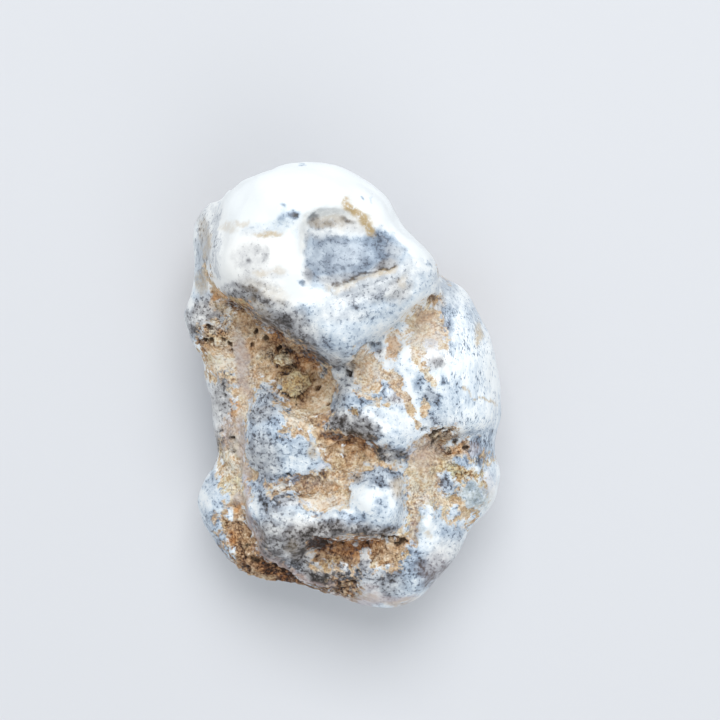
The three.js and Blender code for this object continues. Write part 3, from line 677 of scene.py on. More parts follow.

# %% [markdown]
# The rock is not one colour. It runs from dark brown where damp and iron sit, over tan, to
# cream where it is chalky, which is its tone: 0 is the darkest and 1 the palest. A few dark
# spots are painted shadow instead, under the lip, the olive lump and the middle hollow's edge,
# and over the foot, and each of them is marked. One list for each quality keeps them apart, so
# that a colour can be corrected without touching the others.

# %% Tone of the rock
USUAL_TONE = 0.72
TONES = [
    # Under the lip and below the dimple
    (-12.4, 1.6, 2.8, 1.6, -20, 0.42), (-8.6, 0.6, 1.8, 1.0, -30, 0.30),
    # The spot at (-19.6, 8.2) is painted shadow on the rock under the lip's edge
    (-19.6, 8.2, 2.0, 0.7, -22, 0.20), (-16.2, 5.6, 1.6, 0.9, -35, 0.36),
    (-14.2, 4.6, 2.2, 0.9, -30, 0.36),
    # The left side
    (-5.6, -5.0, 1.9, 3.6, 0, 0.82), (-9.8, -9.4, 2.2, 2.0, 0, 0.88), (-22.0, 1.0, 3.0, 4.0, 0, 0.76),
    (-22.2, -0.6, 1.4, 1.2, 0, 1.00), (-23.4, 4.6, 2.2, 0.9, 0, 0.46),
    (-20.5, -17.5, 1.8, 4.2, 0, 0.90), (-11.9, -1.6, 1.3, 0.5, -10, 0.30),
    (-12.2, -0.2, 1.9, 1.4, -20, 0.62), (-10.3, -3.9, 2.7, 2.7, -30, 0.46),
    # The spots at (-6.8, -10.1) and (-9.2, -5.9) are painted shadow, at the top edge of the middle hollow
    # and beneath the olive lump
    (-6.8, -10.1, 1.5, 0.6, -20, 0.38), (-9.2, -5.9, 2.0, 0.8, 10, 0.42),
    (-6.0, -9.4, 1.4, 0.8, -20, 0.44), (-18.6, -7.6, 1.0, 1.6, 0, 0.95),
    (-25.0, 2.4, 1.0, 1.6, 0, 0.52), (-11.0, -9.2, 1.0, 1.2, 0, 1.00),
    # The spot at (-9.1, -5.6) and the one on the next line are painted shadow under the lower edge of the
    # olive lump
    (-20.0, -13.6, 1.4, 1.6, 0, 0.95), (-9.1, -5.6, 1.7, 0.35, 32, 0.05),
    (-11.4, -6.2, 0.9, 0.25, -25, 0.15),
    # The middle
    (-0.6, -13.2, 4.4, 1.3, -8, 0.40), (-3.0, -15.8, 4.0, 1.2, 0, 0.70),
    (-8.0, -19.2, 6.0, 1.3, 8, 0.66), (-6.0, -22.6, 4.4, 1.2, 4, 0.98), (1.0, -1.6, 2.6, 4.0, 0, 0.84),
    (-1.1, -8.2, 1.4, 0.5, -24, 0.60), (-5.0, -17.9, 1.4, 0.5, 0, 0.20),
    (-2.8, -23.8, 1.8, 0.8, 0, 1.00), (-1.5, -14.3, 1.4, 0.7, 0, 0.88),
    (-1.0, -17.5, 1.6, 0.5, 0, 0.84), (-4.8, -4.8, 0.8, 3.0, 0, 0.88), (0.4, -17.0, 2.0, 0.5, 0, 0.84),
    (-2.4, -22.4, 1.2, 1.0, 0, 1.04), (-17.2, -18.3, 1.2, 1.3, 0, 0.85),
    # The right side
    (10.5, 4.5, 4.2, 5.5, 0, 0.86), (10.2, 6.8, 1.4, 1.0, 20, 0.60), (11.6, -15.6, 3.4, 3.4, 0, 0.62),
    (13.6, -21.6, 4.4, 3.0, 0, 0.78), (16.4, -18.4, 1.7, 1.5, 0, 0.56), (12.8, 5.0, 1.2, 1.6, 0, 0.70),
    (14.6, -17.4, 2.0, 0.9, 0, 0.56), (19.4, -17.8, 1.6, 1.4, 0, 0.64), (11.8, 9.6, 1.2, 0.8, 10, 0.56),
    (15.6, -20.8, 1.0, 1.4, 0, 0.62),
    # The foot
    (-18.8, -28.6, 3.6, 5.0, 0, 0.58), (-16.6, -32.6, 3.0, 1.6, -10, 0.38),
    (-12.4, -34.2, 4.4, 1.5, -18, 0.16), (-6.2, -36.6, 3.0, 0.8, -10, 0.20),
    (9.0, -25.0, 1.0, 4.0, 5, 0.66), (0.0, -29.2, 8.0, 1.2, 3, 0.34), (-6.4, -29.3, 1.9, 1.3, 0, -0.10),
    (-5.6, -32.0, 2.6, 1.0, 0, 0.42), (4.3, -30.9, 3.2, 2.2, 0, 0.68),
    (-2.4, -36.0, 2.6, 1.5, -8, 0.30), (-2.8, -32.2, 1.6, 0.9, 0, 0.44),
    # The spot at (-3.4, -31.4) is darker rock and partly painted shade over the foot
    (-19.8, -27.0, 1.2, 1.0, 0, 0.72), (-3.4, -31.4, 2.6, 1.2, 0, 0.34),
    (-6.8, -28.8, 1.5, 0.8, 0, 0.02),
    # Laid over those
    (5.2, 2.0, 1.8, 3.0, 0, 0.90), (-5.2, -3.0, 1.0, 0.9, 0, 0.62), (-10.2, 0.2, 0.9, 1.2, 0, 0.48),
    (-5.4, -13.6, 1.6, 1.6, 0, 0.74), (-5.4, -15.0, 1.0, 0.7, 0, 0.84),
    (-19.2, -21.2, 0.9, 1.6, 0, 1.00), (6.4, -5.0, 1.6, 4.4, 30, 0.72),
    # The four spots on this line and the next are painted shade at the top edge of the middle hollow
    (-3.8, -11.7, 1.6, 0.5, -15, 0.16), (-1.0, -12.4, 2.4, 0.5, -8, 0.24),
    (-3.0, -12.3, 3.2, 0.7, -8, 0.10), (-2.6, -12.4, 3.2, 0.6, -6, 0.30),
    (10.4, -6.0, 1.8, 4.4, 10, 0.80), (13.6, -11.6, 3.2, 0.7, -8, 0.44),
    (16.2, -13.2, 1.9, 1.0, -20, 0.70), (9.4, -20.6, 1.4, 1.2, 0, 0.82),
    (13.5, -13.4, 1.2, 0.8, 0, 0.95), (8.2, -18.6, 1.2, 3.0, 0, 0.88), (10.4, -20.6, 1.6, 1.2, 0, 0.88),
]
tone = gather(TONES, USUAL_TONE)
print("Tone of the rock: mean", round(float(tone[rock > 0.5].mean()), 2))

# %% [markdown]
# The warmth turns the rock to rust above zero, where iron has gathered, and to olive clay
# below it. It is a quality of its own, because rusty rock is dark in one place and pale in
# the next.

# %% Warmth of the rock
WARMTHS = [
    # Under the lip and below the dimple
    (-13.4, 0.4, 1.6, 1.2, 0, -0.50), (-13.2, 3.6, 2.2, 1.0, -20, 0.70),
    (-17.0, 2.6, 1.3, 1.0, 0, 0.60), (-19.4, 8.9, 3.4, 0.7, -22, 1.00),
    (-22.6, 10.4, 0.7, 0.9, 0, 0.50),
    # The left side
    (-12.0, -0.2, 1.8, 1.3, -20, -0.50), (-10.3, -3.9, 2.5, 2.7, -30, -0.90),
    (-5.6, -5.2, 1.8, 3.4, 0, 0.15), (-20.6, -7.6, 0.9, 1.8, 0, 0.90),
    (-20.6, -20.0, 1.6, 2.4, 0, -0.40),
    # The middle
    (-1.1, -8.2, 1.4, 0.5, -24, -0.50), (-1.0, -13.4, 4.6, 1.4, -8, 0.50),
    (-5.6, -17.0, 1.6, 1.2, 0, -0.60),
    # The right side
    (10.5, 5.0, 4.0, 5.0, 0, -0.05), (9.0, -22.8, 0.7, 0.8, 0, 0.50),
    (16.4, -13.5, 1.7, 0.9, -20, 0.70), (12.5, -19.0, 5.0, 5.0, 0, -0.30),
    (19.4, -17.0, 2.0, 2.4, 0, -0.30), (15.4, -18.0, 1.8, 1.1, 0, -0.90),
    (20.6, -19.2, 1.2, 2.4, 0, -0.80), (15.6, -14.0, 1.8, 0.8, -15, 0.80),
    # The foot
    (-5.4, -32.2, 2.6, 1.0, 0, -0.40), (-12.4, -33.8, 4.6, 1.6, -18, 0.70),
    (-18.8, -29.0, 3.6, 4.6, 0, 0.30), (-20.6, -28.4, 0.8, 1.0, 0, 0.90),
    (-2.0, -29.6, 6.0, 1.6, 0, 0.80), (8.8, -25.0, 1.0, 4.0, 0, -0.20),
    (8.2, -25.6, 1.2, 2.6, 0, -0.50),
    # Laid over those
    (5.2, 2.0, 1.8, 3.0, 0, 0.05), (-8.4, 0.4, 2.2, 1.7, -35, 0.60), (5.0, 1.6, 1.2, 2.0, 0, 0.80),
    (-19.2, -23.4, 0.5, 0.6, 0, 1.00),
]
warmth = gather(WARMTHS)
print(sum(row[-1] > 0 for row in WARMTHS), "rusty and", sum(row[-1] < 0 for row in WARMTHS), "olive spots")

# %% [markdown]
# Crumbs say how loose the rock is: solid at 0, a crust of loose grains at 1. Ash says how
# many of its grains are grey, as sand is where no iron coats it.

# %% Crumbs and ash
USUAL_CRUMBS = 0.15
USUAL_ASH = 0.18
CRUMBS = [
    (-18.8, -29.0, 4.6, 5.6, 0, 1.00), (-12.4, -34.0, 4.4, 1.8, -18, 0.80),
    (-3.4, -36.2, 3.4, 1.8, -8, 0.70), (14.0, -12.4, 4.4, 2.2, -10, 1.00),
    (12.5, -20.0, 4.4, 4.0, 0, 0.40), (4.2, -30.6, 4.0, 2.4, 0, 0.80), (-3.0, -30.0, 4.0, 1.6, 0, 0.50),
    (-11.0, 0.4, 6.0, 4.4, -20, 0.60), (-23.0, 4.0, 3.0, 3.0, 0, 0.90),
    (-20.4, -16.0, 2.0, 6.0, 0, 0.50), (-9.8, -9.6, 2.6, 2.2, 0, 0.50),
    (-3.0, -14.4, 5.4, 2.8, -8, 0.50), (-8.0, -19.4, 6.0, 1.8, 8, 0.50),
    (-10.4, -4.0, 2.4, 2.4, -30, 0.12), (-12.2, 0.2, 1.8, 1.2, 0, 0.20),
]
ASHES = [
    # Under the lip and below the dimple
    (-12.5, 0.5, 2.2, 1.6, 0, 0.60),
    # The left side
    (-23.5, 6.0, 3.5, 3.0, 0, 0.80), (-21.0, -0.5, 2.6, 3.0, 0, 0.50),
    (-20.5, -14.0, 2.0, 6.5, 0, 0.70), (-9.8, -9.4, 2.4, 2.0, 0, 0.35),
    (-10.4, -3.9, 2.3, 2.4, -30, 0.50), (-18.8, -0.4, 1.2, 5.0, 8, 0.80),
    (-19.4, -21.0, 1.0, 2.0, 0, 0.60), (-17.2, -2.6, 1.0, 1.6, 0, 0.60),
    # The middle
    (4.0, 0.0, 8.0, 7.0, 0, 0.55), (-8.0, -19.5, 5.0, 1.5, 8, 0.40), (-5.0, -22.2, 3.5, 1.4, 0, 0.70),
    (3.0, -2.0, 1.4, 1.2, 0, 0.70), (-5.0, -17.2, 1.6, 0.9, 0, 1.00), (-5.8, -17.0, 1.6, 1.2, 0, 0.55),
    # The right side
    (12.5, -16.5, 3.5, 3.5, 0, 0.45), (17.0, -16.0, 2.5, 1.5, 0, 0.80),
    (10.5, -12.2, 5.0, 2.2, -10, 0.65), (18.0, -18.0, 3.0, 1.5, 0, 0.90), (9.0, 8.2, 1.6, 1.2, 0, 0.55),
    (12.6, 5.0, 1.2, 1.6, 0, 0.90), (9.4, 0.4, 1.4, 1.8, 0, 0.85), (16.0, -17.8, 2.0, 1.4, 0, 0.90),
    (20.0, -19.5, 1.6, 2.4, 0, 0.95), (12.0, -11.4, 4.4, 0.9, -6, 0.45),
    (18.0, -14.0, 1.4, 1.2, 0, 1.00), (20.6, -19.2, 1.0, 2.2, 0, 0.80), (12.4, 12.4, 1.4, 1.8, 0, 0.50),
    (9.2, 8.6, 2.0, 0.9, 35, 1.00),
    # The foot
    (8.8, -25.0, 1.0, 4.0, 0, 0.90), (-6.0, -32.0, 3.0, 1.0, 0, 0.30), (-1.0, -36.5, 5.0, 1.4, 0, 0.40),
    # Laid over those
    (0.2, 1.8, 1.2, 0.9, 0, 0.70), (10.2, -21.4, 2.6, 2.6, 0, 0.80), (8.2, -25.4, 1.2, 2.4, 0, 1.00),
]
crumbs = gather(CRUMBS, USUAL_CRUMBS)
ash_part = gather(ASHES, USUAL_ASH)
print(len(CRUMBS), "crumbly and", len(ASHES), "ashen spots")

# %% [markdown]
# Water has left thin iron stains on the opal, mostly along its creases. In a few places the
# opal is smoky glass instead of porcelain, and on the upper wall of the dimple the same grey is
# partly painted shade. A crease gets a seam, and a blot gets a spot.

# %% Stains, smoke and painted shade
STAINS = [
    # The head
    (-21.0, 21.0, 1.2, 0.8, 0, 0.30), (-18.8, 21.8, 1.1, 0.6, 0, 0.36),
    (-14.5, 19.8, 2.0, 0.6, 3, 0.66), (-15.6, 13.9, 0.9, 0.6, 0, 0.34),
    (-13.0, 14.3, 1.3, 0.5, 0, 0.26), (-4.6, 21.5, 3.4, 0.9, 5, 0.30), (4.0, 14.5, 1.8, 0.6, 20, 0.55),
    (-8.6, 19.5, 0.8, 3.4, 0, 0.10), (-24.0, 19.0, 0.5, 1.6, 0, 0.55), (-24.8, 17.0, 0.5, 1.2, 0, 0.50),
    (-25.1, 12.6, 0.8, 2.2, 0, 0.50), (-25.0, 21.0, 0.7, 2.0, 0, 0.30),
    # Under the lip and below the dimple
    (-14.6, 11.0, 4.0, 1.4, -20, 0.20), (-3.0, 11.9, 2.0, 0.4, 0, 0.30),
    (7.0, 12.3, 0.7, 1.1, -30, 0.28), (-16.0, 8.4, 2.2, 0.8, -35, 0.26),
    (-1.2, -1.2, 0.9, 0.9, 0, 0.30),
    # The left side
    (-22.4, 8.4, 1.2, 0.6, -20, 0.50), (-7.2, -14.4, 0.9, 1.3, 0, 0.45),
    # The middle
    (1.0, -17.2, 1.2, 0.3, 0, 0.45), (-12.0, -24.6, 3.0, 1.2, -10, 0.12),
    (-12.6, -20.0, 1.4, 0.9, 0, 0.40), (2.0, -7.2, 1.6, 0.3, 12, 0.35), (5.4, -16.6, 1.2, 0.7, 0, 0.34),
    (6.2, -20.0, 0.8, 1.4, 0, 0.34),
    # The right side
    (18.8, 4.0, 0.5, 2.0, 0, 0.60), (11.2, 2.8, 1.0, 0.8, 0, 0.35),
    # The foot
    (-1.0, -37.4, 4.0, 0.5, -10, 0.50), (6.0, -38.4, 2.4, 0.5, 8, 0.50),
    (10.7, -27.5, 0.5, 0.7, 0, 0.45), (-10.8, -29.8, 1.0, 1.0, 0, 0.15),
]
STAIN_SEAMS = [
    ([(-1.9, 25.0), (-0.2, 23.2), (0.9, 21.7), (1.7, 20.4)], 0.80, 0.92),
    ([(-23.8, 12.8), (-22.2, 10.3), (-20.2, 9.4), (-18.4, 8.4)], 0.45, 0.90),
    ([(-5.2, 11.5), (-2.0, 12.1), (0.2, 13.3), (2.5, 14.0), (5.4, 14.8)], 0.60, 0.38),
    ([(16.5, -4.5), (18.0, -6.0), (20.0, -6.5), (21.6, -6.8)], 0.14, 0.70),
]
SMOKES_AND_SHADE = [
    # The first three spots are partly grey opal and partly painted shade, on the upper wall of the dimple
    # and beside it
    (-5.2, 23.0, 4.2, 1.1, 0, 0.30), (0.4, 22.8, 1.4, 0.9, -40, 0.35), (-12.0, 21.4, 2.6, 1.2, 0, 0.16),
    (18.0, -21.3, 2.6, 2.2, -35, 0.70), (9.2, -25.9, 0.9, 2.6, -5, 0.45),
]
stain = gather(STAINS)
for points, half_width, value in STAIN_SEAMS:
    stain = np.maximum(stain, value * seam(points, half_width))
smoke_and_shade = gather(SMOKES_AND_SHADE)
print("Stained opal:", round(100 * float((stain > 0.3).mean()), 1), "% of the skin")

# %% [markdown]
# The broken plates have a thin pinkish skin, which also follows the rim of the lowest one.
# The rim is a seam along its own few points, because the relief needs the same line later.

# %% Pink skin
RIM_PINK = 0.9
PINKS = [
    (-18.8, -0.4, 1.2, 5.4, 8, 1.00), (-19.2, -13.0, 0.8, 5.0, 0, 0.95),
    (-20.6, -12.0, 1.4, 2.6, 0, 0.75), (-19.6, -22.0, 0.9, 1.2, 0, 0.80),
    (2.5, -38.2, 6.5, 0.9, 3, 0.90), (-3.2, -37.6, 2.2, 0.4, -12, 0.80),
    (1.4, -36.4, 1.6, 0.9, 0, 0.50), (10.4, -15.0, 2.6, 2.4, 0, 0.60), (10.6, 4.0, 3.4, 4.0, 0, 0.42),
    (13.0, -12.0, 3.0, 1.0, -8, 0.10), (-6.0, -22.4, 4.0, 1.0, 4, 0.30),
    (-8.0, -19.2, 4.0, 1.0, 8, 0.25), (12.0, -33.4, 3.0, 2.4, 40, 0.35), (1.1, -1.6, 2.3, 3.3, 8, 0.28),
    (5.2, 2.2, 1.1, 2.4, 0, 0.34), (6.0, -4.4, 1.4, 3.6, 28, 0.25), (10.6, -20.0, 2.6, 3.0, 0, 0.34),
    (8.6, -26.0, 0.8, 3.0, 0, 0.60), (17.8, -14.2, 1.2, 1.0, 0, 0.50), (-5.2, -17.0, 1.2, 0.8, 0, 0.40),
    (20.4, -19.6, 1.0, 2.0, 0, 0.40),
]
PLATE_RIM = [
    (-18.3, -17.0), (-18.2, -21.5), (-17.3, -25.2), (-16.3, -28.2), (-15.1, -30.7),
    (-12.8, -32.3), (-10.4, -33.8), (-8.2, -35.0), (-6.0, -35.6), (-4.0, -35.8),
]
pink = np.maximum(gather(PINKS), RIM_PINK * seam(PLATE_RIM, half_width=0.45))
print("Pink skin: mean", round(float(pink[front > 0.5].mean()), 2), "on the upper side")

# %% [markdown]
# Growth near the surface is more brown than blue, which is called drab here. At the foot the
# brown is partly painted warm light reflected onto the stone, and at the middle hollow's edge
# it tints painted shade. On the flanks the growth is drawn out into streams of short ticks,
# which is called a streak. Both only say where: the finish makes the colour and the ticks.

# %% Brown growth, painted light and streams of ticks
DRABS_WITH_PAINTED_LIGHT = [
    # The head
    (-17.5, 15.5, 6.0, 5.0, 0, 0.75), (-3.0, 22.0, 6.0, 2.0, 0, 0.80), (-23.6, 19.0, 2.4, 8.0, 0, 0.50),
    (-8.9, 17.5, 1.2, 3.5, 0, 0.30), (-5.5, 19.6, 3.0, 0.7, 0, 0.60),
    # Under the lip and below the dimple
    (2.0, 12.0, 8.0, 2.6, 20, 0.50), (-17.0, 10.0, 6.0, 2.6, -15, 0.80),
    (-11.6, 5.4, 6.0, 3.2, -35, 0.75), (-3.4, -2.4, 3.4, 3.4, 0, 0.55), (-2.5, 7.2, 4.4, 1.3, 0, 0.35),
    (6.2, 10.8, 2.2, 1.6, 30, 0.70), (-1.2, -1.4, 1.2, 1.2, 0, 1.00), (3.2, 1.2, 1.0, 1.2, 0, 0.70),
    # The left side
    (-24.6, 6.6, 3.4, 3.4, 0, 0.80), (-22.0, -6.0, 2.4, 5.5, 0, 0.80),
    (-22.4, -12.8, 1.4, 2.6, 0, 0.90), (-14.0, -5.4, 2.4, 2.0, 0, 0.30),
    (-15.5, -15.5, 2.6, 4.0, 10, 0.50), (-22.4, 8.4, 1.6, 0.9, -20, 1.00),
    (-16.0, -8.4, 2.6, 1.4, 0, 0.50),
    # The middle
    (-1.5, -10.4, 5.0, 2.6, -10, 0.80), (3.4, -15.0, 3.2, 1.4, 0, 0.85),
    (2.6, -18.4, 4.0, 2.0, 0, 0.20), (-14.0, -22.6, 3.0, 2.0, 0, 0.30), (5.8, -20.4, 1.2, 1.6, 0, 0.90),
    # The spot at (-2.6, -11.9) browns the painted shade at the top edge of the middle hollow
    (-2.6, -11.9, 4.0, 0.9, -6, 1.00), (5.5, -6.0, 1.4, 0.9, 0, 0.60),
    (-11.0, -22.2, 2.6, 0.9, -10, 0.60), (-0.8, -18.6, 1.4, 0.9, 0, 1.00),
    # The right side
    (12.4, -0.5, 1.6, 1.4, 0, 0.70), (13.8, -19.6, 1.6, 2.0, 12, 0.15),
    (12.5, -10.5, 4.0, 1.6, 0, 0.30), (13.6, 12.0, 2.0, 4.0, 20, 0.25), (12.4, 9.4, 1.2, 1.4, 0, 0.80),
    (10.8, -5.6, 1.4, 1.0, 0, 0.30),
    # The foot, where the brown is partly painted warm light reflected onto the stone
    (-1.0, -27.6, 8.0, 1.8, -2, 0.80), (-8.0, -29.0, 6.0, 4.0, 0, 0.90),
    (-5.6, -34.0, 4.4, 1.8, 0, 0.85), (-14.5, -29.4, 3.0, 4.0, 0, 0.80),
    (3.0, -35.4, 4.0, 2.4, 0, 0.55), (0.5, -31.8, 1.4, 2.0, 0, 0.60), (13.6, -32.0, 4.0, 3.0, 30, 0.50),
    # Laid over those
    (3.8, 15.4, 2.0, 1.0, 20, 0.75), (-3.6, 13.2, 3.0, 0.9, 15, 0.70), (-4.0, 16.5, 5.0, 3.0, 0, 0.20),
    (-8.2, 13.4, 1.2, 1.6, 0, 0.60), (5.6, 17.6, 1.6, 1.2, 0, 0.40),
]
STREAKS = [
    (18.4, -2.0, 5.4, 16.0, 5, 1.00), (-24.4, 18.6, 2.2, 6.6, 0, 1.00),
    (6.6, -25.4, 2.0, 1.6, -30, 1.00),
]
drab_with_painted_light = gather(DRABS_WITH_PAINTED_LIGHT)
streak = gather(STREAKS)
print(len(DRABS_WITH_PAINTED_LIGHT), "brown spots and", len(STREAKS), "streams of ticks")

# %% [markdown]
# Holes, slits and cracks are real depth, so they go into the mesh and not only into the
# colour. A boolean could cut them, but these are small and ragged, so each hole is a spot to
# press in and each crack a seam. The same masks darken the colour later, because a hole in
# rough rock keeps its own shadow and dirt.

# %% Holes and cracks
HOLE_EDGE = 0.3
HOLES = [
    (-13.1, 1.7, 0.55, 0.28, 15, 1.00), (-11.8, 0.7, 0.4, 0.25, 0, 0.70),
    (-7.6, -3.1, 0.25, 0.42, 20, 0.90), (-6.8, -4.3, 0.4, 0.24, 30, 0.90),
    (-5.3, -6.6, 0.4, 0.3, 0, 0.80), (-1.8, -2.1, 0.7, 0.3, -45, 1.00),
    (-25.0, 2.9, 0.45, 0.3, 0, 0.90), (-23.9, 2.8, 0.35, 0.4, 0, 0.90), (-24.0, 5.0, 0.5, 0.3, 0, 0.50),
    (-21.8, 3.5, 0.3, 0.8, 25, 0.90), (-20.6, 2.3, 0.25, 0.6, 15, 0.80),
    (-20.5, 1.2, 0.4, 0.4, 0, 1.00), (-16.7, 4.5, 0.35, 0.5, 0, 0.80), (-15.2, 3.2, 0.4, 0.55, 0, 0.80),
    (-17.0, 2.4, 0.3, 0.5, 0, 0.60), (-21.6, -5.7, 0.3, 0.3, 0, 0.90),
    (-22.3, -11.2, 0.5, 0.3, 20, 0.55), (-20.8, -12.4, 0.6, 0.3, 0, 0.90),
    (-20.4, -14.7, 0.6, 0.22, 10, 0.60), (-20.4, -18.0, 0.35, 0.4, 0, 0.60),
    (11.8, 9.7, 0.9, 0.45, 10, 0.40), (10.2, -11.0, 0.6, 0.3, 20, 0.70),
    (12.0, -11.9, 0.6, 0.35, 15, 1.00), (13.4, -11.2, 0.8, 0.3, 10, 0.80),
    (11.7, -13.2, 0.5, 0.3, 0, 0.80), (15.2, -13.0, 0.5, 0.35, 0, 0.80),
    (16.8, -13.7, 0.6, 0.35, -20, 0.90), (6.3, -29.2, 1.0, 0.35, 20, 0.90),
    (4.0, -28.2, 0.7, 0.25, 0, 0.70), (-3.0, -29.5, 0.7, 0.3, 0, 0.70),
    (-18.0, -29.5, 0.6, 0.5, 0, 0.80), (-17.0, -32.0, 0.9, 0.5, -20, 0.90),
    (-5.6, -29.3, 0.7, 0.45, 0, 0.80), (-1.6, -35.6, 0.7, 0.25, -8, 0.60),
    (11.6, -12.5, 0.5, 0.8, 0, 0.90), (12.7, -12.7, 0.35, 0.25, 0, 0.90),
    (13.6, -12.0, 0.4, 0.22, 20, 0.90), (14.5, -11.6, 0.3, 0.2, 0, 0.80),
    (14.2, -14.4, 0.35, 0.2, 0, 0.80), (15.7, -14.5, 0.3, 0.2, 0, 0.80),
    (17.4, -14.4, 0.3, 0.2, 0, 0.80), (12.3, -14.2, 0.3, 0.2, 0, 0.70),
]
CRACKS = [
    ([(-2.3, -7.2), (-1.0, -7.6), (0.2, -8.1)], 0.20, 0.50),
    ([(-12.5, -5.6), (-10.3, -6.95), (-8.6, -5.5), (-7.8, -4.5)], 0.20, 0.90),
    ([(-4.4, 12.1), (-2.0, 12.6), (0.0, 13.9), (2.0, 14.4), (5.2, 15.4)], 0.34, 0.24),
    ([(-11.5, -5.6), (-12.6, -4.6), (-13.6, -5.2)], 0.20, 0.60),
    ([(-1.9, -2.2), (-0.6, 0.4), (1.2, 2.2), (3.0, 2.7)], 0.30, 0.60),
    ([(3.2, -27.9), (5.4, -28.6), (7.2, -28.6)], 0.25, 0.60),
]
hole = gather(HOLES, edge=HOLE_EDGE, shaken=False)
crack = np.max([value * seam(points, half_width) for points, half_width, value in CRACKS], axis=0)
print(len(HOLES), "holes and", len(CRACKS), "cracks")

# %% [markdown]
# The photograph doesn't show the underside or the far sides, so those are the lesson's own
# guess: the same white opal with drifting clouds, and host rock in a few broad patches. One
# slow noise places the clouds and another the rock. The picture's patches fade out where
# the surface turns away from the camera.

# %% The sides and the underside
far_rock = soft(noise_field(11.0, seed=11, octaves=4), 0.16, 0.30)
far_cloud = 0.60 * soft(noise_field(6.5, seed=12, octaves=4), -0.05, 0.45)
far_tone = 0.56 + 0.35 * noise_field(5.0, seed=13)


def wrapped(near, far):
    """The picture's value in front, and the guess where the stone turns away."""
    return front * near + (1.0 - front) * far


rock = wrapped(rock, far_rock)
cloud_and_shade = wrapped(cloud_and_shade, far_cloud)
tone = wrapped(tone, far_tone)
warmth = wrapped(warmth, 0.4 * noise_field(7.0, seed=14))
stain = wrapped(stain, 0.5 * soft(noise_field(5.0, seed=15), 0.25, 0.6))
smoke_and_shade = front * smoke_and_shade
pink = wrapped(pink, 0.4 * far_rock)
hole = front * hole
crack = front * crack
drab_with_painted_light = wrapped(drab_with_painted_light, 0.3)
deep = wrapped(deep, 0.3)
crumbs = wrapped(crumbs, 0.4)
ash_part = wrapped(ash_part, 0.4)
streak = front * streak
print("Guessed share of the skin:", round(100 * float((front < 0.5).mean())), "%")

# %% [markdown]
# Relief is pressed in with Displace modifiers, one for each kind, as a sculptor would use one
# tool after another. A vertex group says where each one works and how strongly. Displacing by
# modifier keeps every tool apart, which moving the vertices directly would not. All of it
# fades out at the flat foot, so the stone still lies as its solid does.

# %% Relief tools
FOOT_FLAT = 0.3
FOOT_FREE = 2.0
foot_fade = soft(z, FOOT_FLAT, FOOT_FREE)


def press(name, weight, depth, texture=None):
    """Moves the skin inwards by up to depth in mm, or to both sides if a texture drives it."""
    group = vertex_group(stone, name, weight * foot_fade)
    settings = {"vertex_group": group, "strength": -depth * MM, "mid_level": 0.0}
    if texture:
        settings.update(texture=texture, texture_coords="LOCAL", mid_level=0.5)
    finish_modifier(stone, "DISPLACE", **settings)


def clouds_texture(name, size, depth=3):
    """Blender's own cloud noise for a Displace modifier, with features of this size in mm."""
    texture = bpy.data.textures.new(name, "CLOUDS")
    texture.noise_scale = size * MM
    texture.noise_depth = depth
    texture.noise_basis = "ORIGINAL_PERLIN"
    return texture


def cell_texture(name, size):
    """Blender's cell noise, for clods of this size in mm with grooves between them."""
    texture = bpy.data.textures.new(name, "VORONOI")
    texture.noise_scale = size * MM
    return texture


print("The foot stays flat on", round(100 * float((foot_fade == 0.0).mean())), "% of the skin")

# %% [markdown]
# The dimple on the head, the notch beside it, the folds under it and the wrinkles of the ledge
# come first. They are real forms, so each is drawn by its own few points. The wrinkles are one
# line, repeated a little lower each time.

# %% The dimple, the folds and the wrinkles
DIMPLE_DEPTH = 1.0
DIMPLE = [(-9.4, 23.0), (-6.0, 24.4), (-2.4, 24.2), (0.6, 22.0), (4.4, 21.0), (6.8, 18.6), (7.0, 16.4),
          (5.2, 15.2), (2.0, 14.3), (0.0, 13.8), (-2.0, 12.5), (-4.4, 12.0), (-8.4, 12.6), (-9.6, 15.0)]
press("dimple", front * field(DIMPLE, edge=2.6, shaken=False), DIMPLE_DEPTH)

NOTCH_DEPTH = 0.8
NOTCH = (-23.0, 26.8, 1.7, 1.3, 30)
press("notch", spot(*NOTCH, shaken=False), NOTCH_DEPTH)

FOLD_DEPTH = 0.28
FOLDS = [
    [(-6.0, 10.2), (-2.5, 10.8), (0.6, 12.2), (3.6, 13.2), (6.6, 14.4)],
    [(-1.0, 9.8), (1.6, 10.6), (4.4, 11.8), (7.6, 13.6)],
    [(2.4, 8.6), (5.0, 9.6), (8.4, 11.4)],
]
fold_seams = [seam(points, half_width=0.55, edge=0.9, shaken=False) for points in FOLDS]
press("folds", front * np.max(fold_seams, axis=0), FOLD_DEPTH)

WRINKLE_DEPTH = 0.6
WRINKLE_STEP = 0.8
WRINKLE = [(-13.4, -18.4), (-9.0, -18.7), (-5.6, -19.6), (-2.2, -20.9)]
WRINKLES = [[(u, v - WRINKLE_STEP * k) for u, v in WRINKLE] for k in range(4)]
wrinkle_seams = [seam(points, half_width=0.32, edge=0.8) for points in WRINKLES]
press("wrinkles", front * np.max(wrinkle_seams, axis=0), WRINKLE_DEPTH)
print("Pressed in:", len(FOLDS), "folds and", len(WRINKLES), "wrinkles")

# %% [markdown]
# Two lumps of clay and the rim of the lowest plate stand out, so they are pressed the other
# way. The rock lies a little below the opal, but not on the broken plates, where both are
# flush. Holes and cracks go deeper.

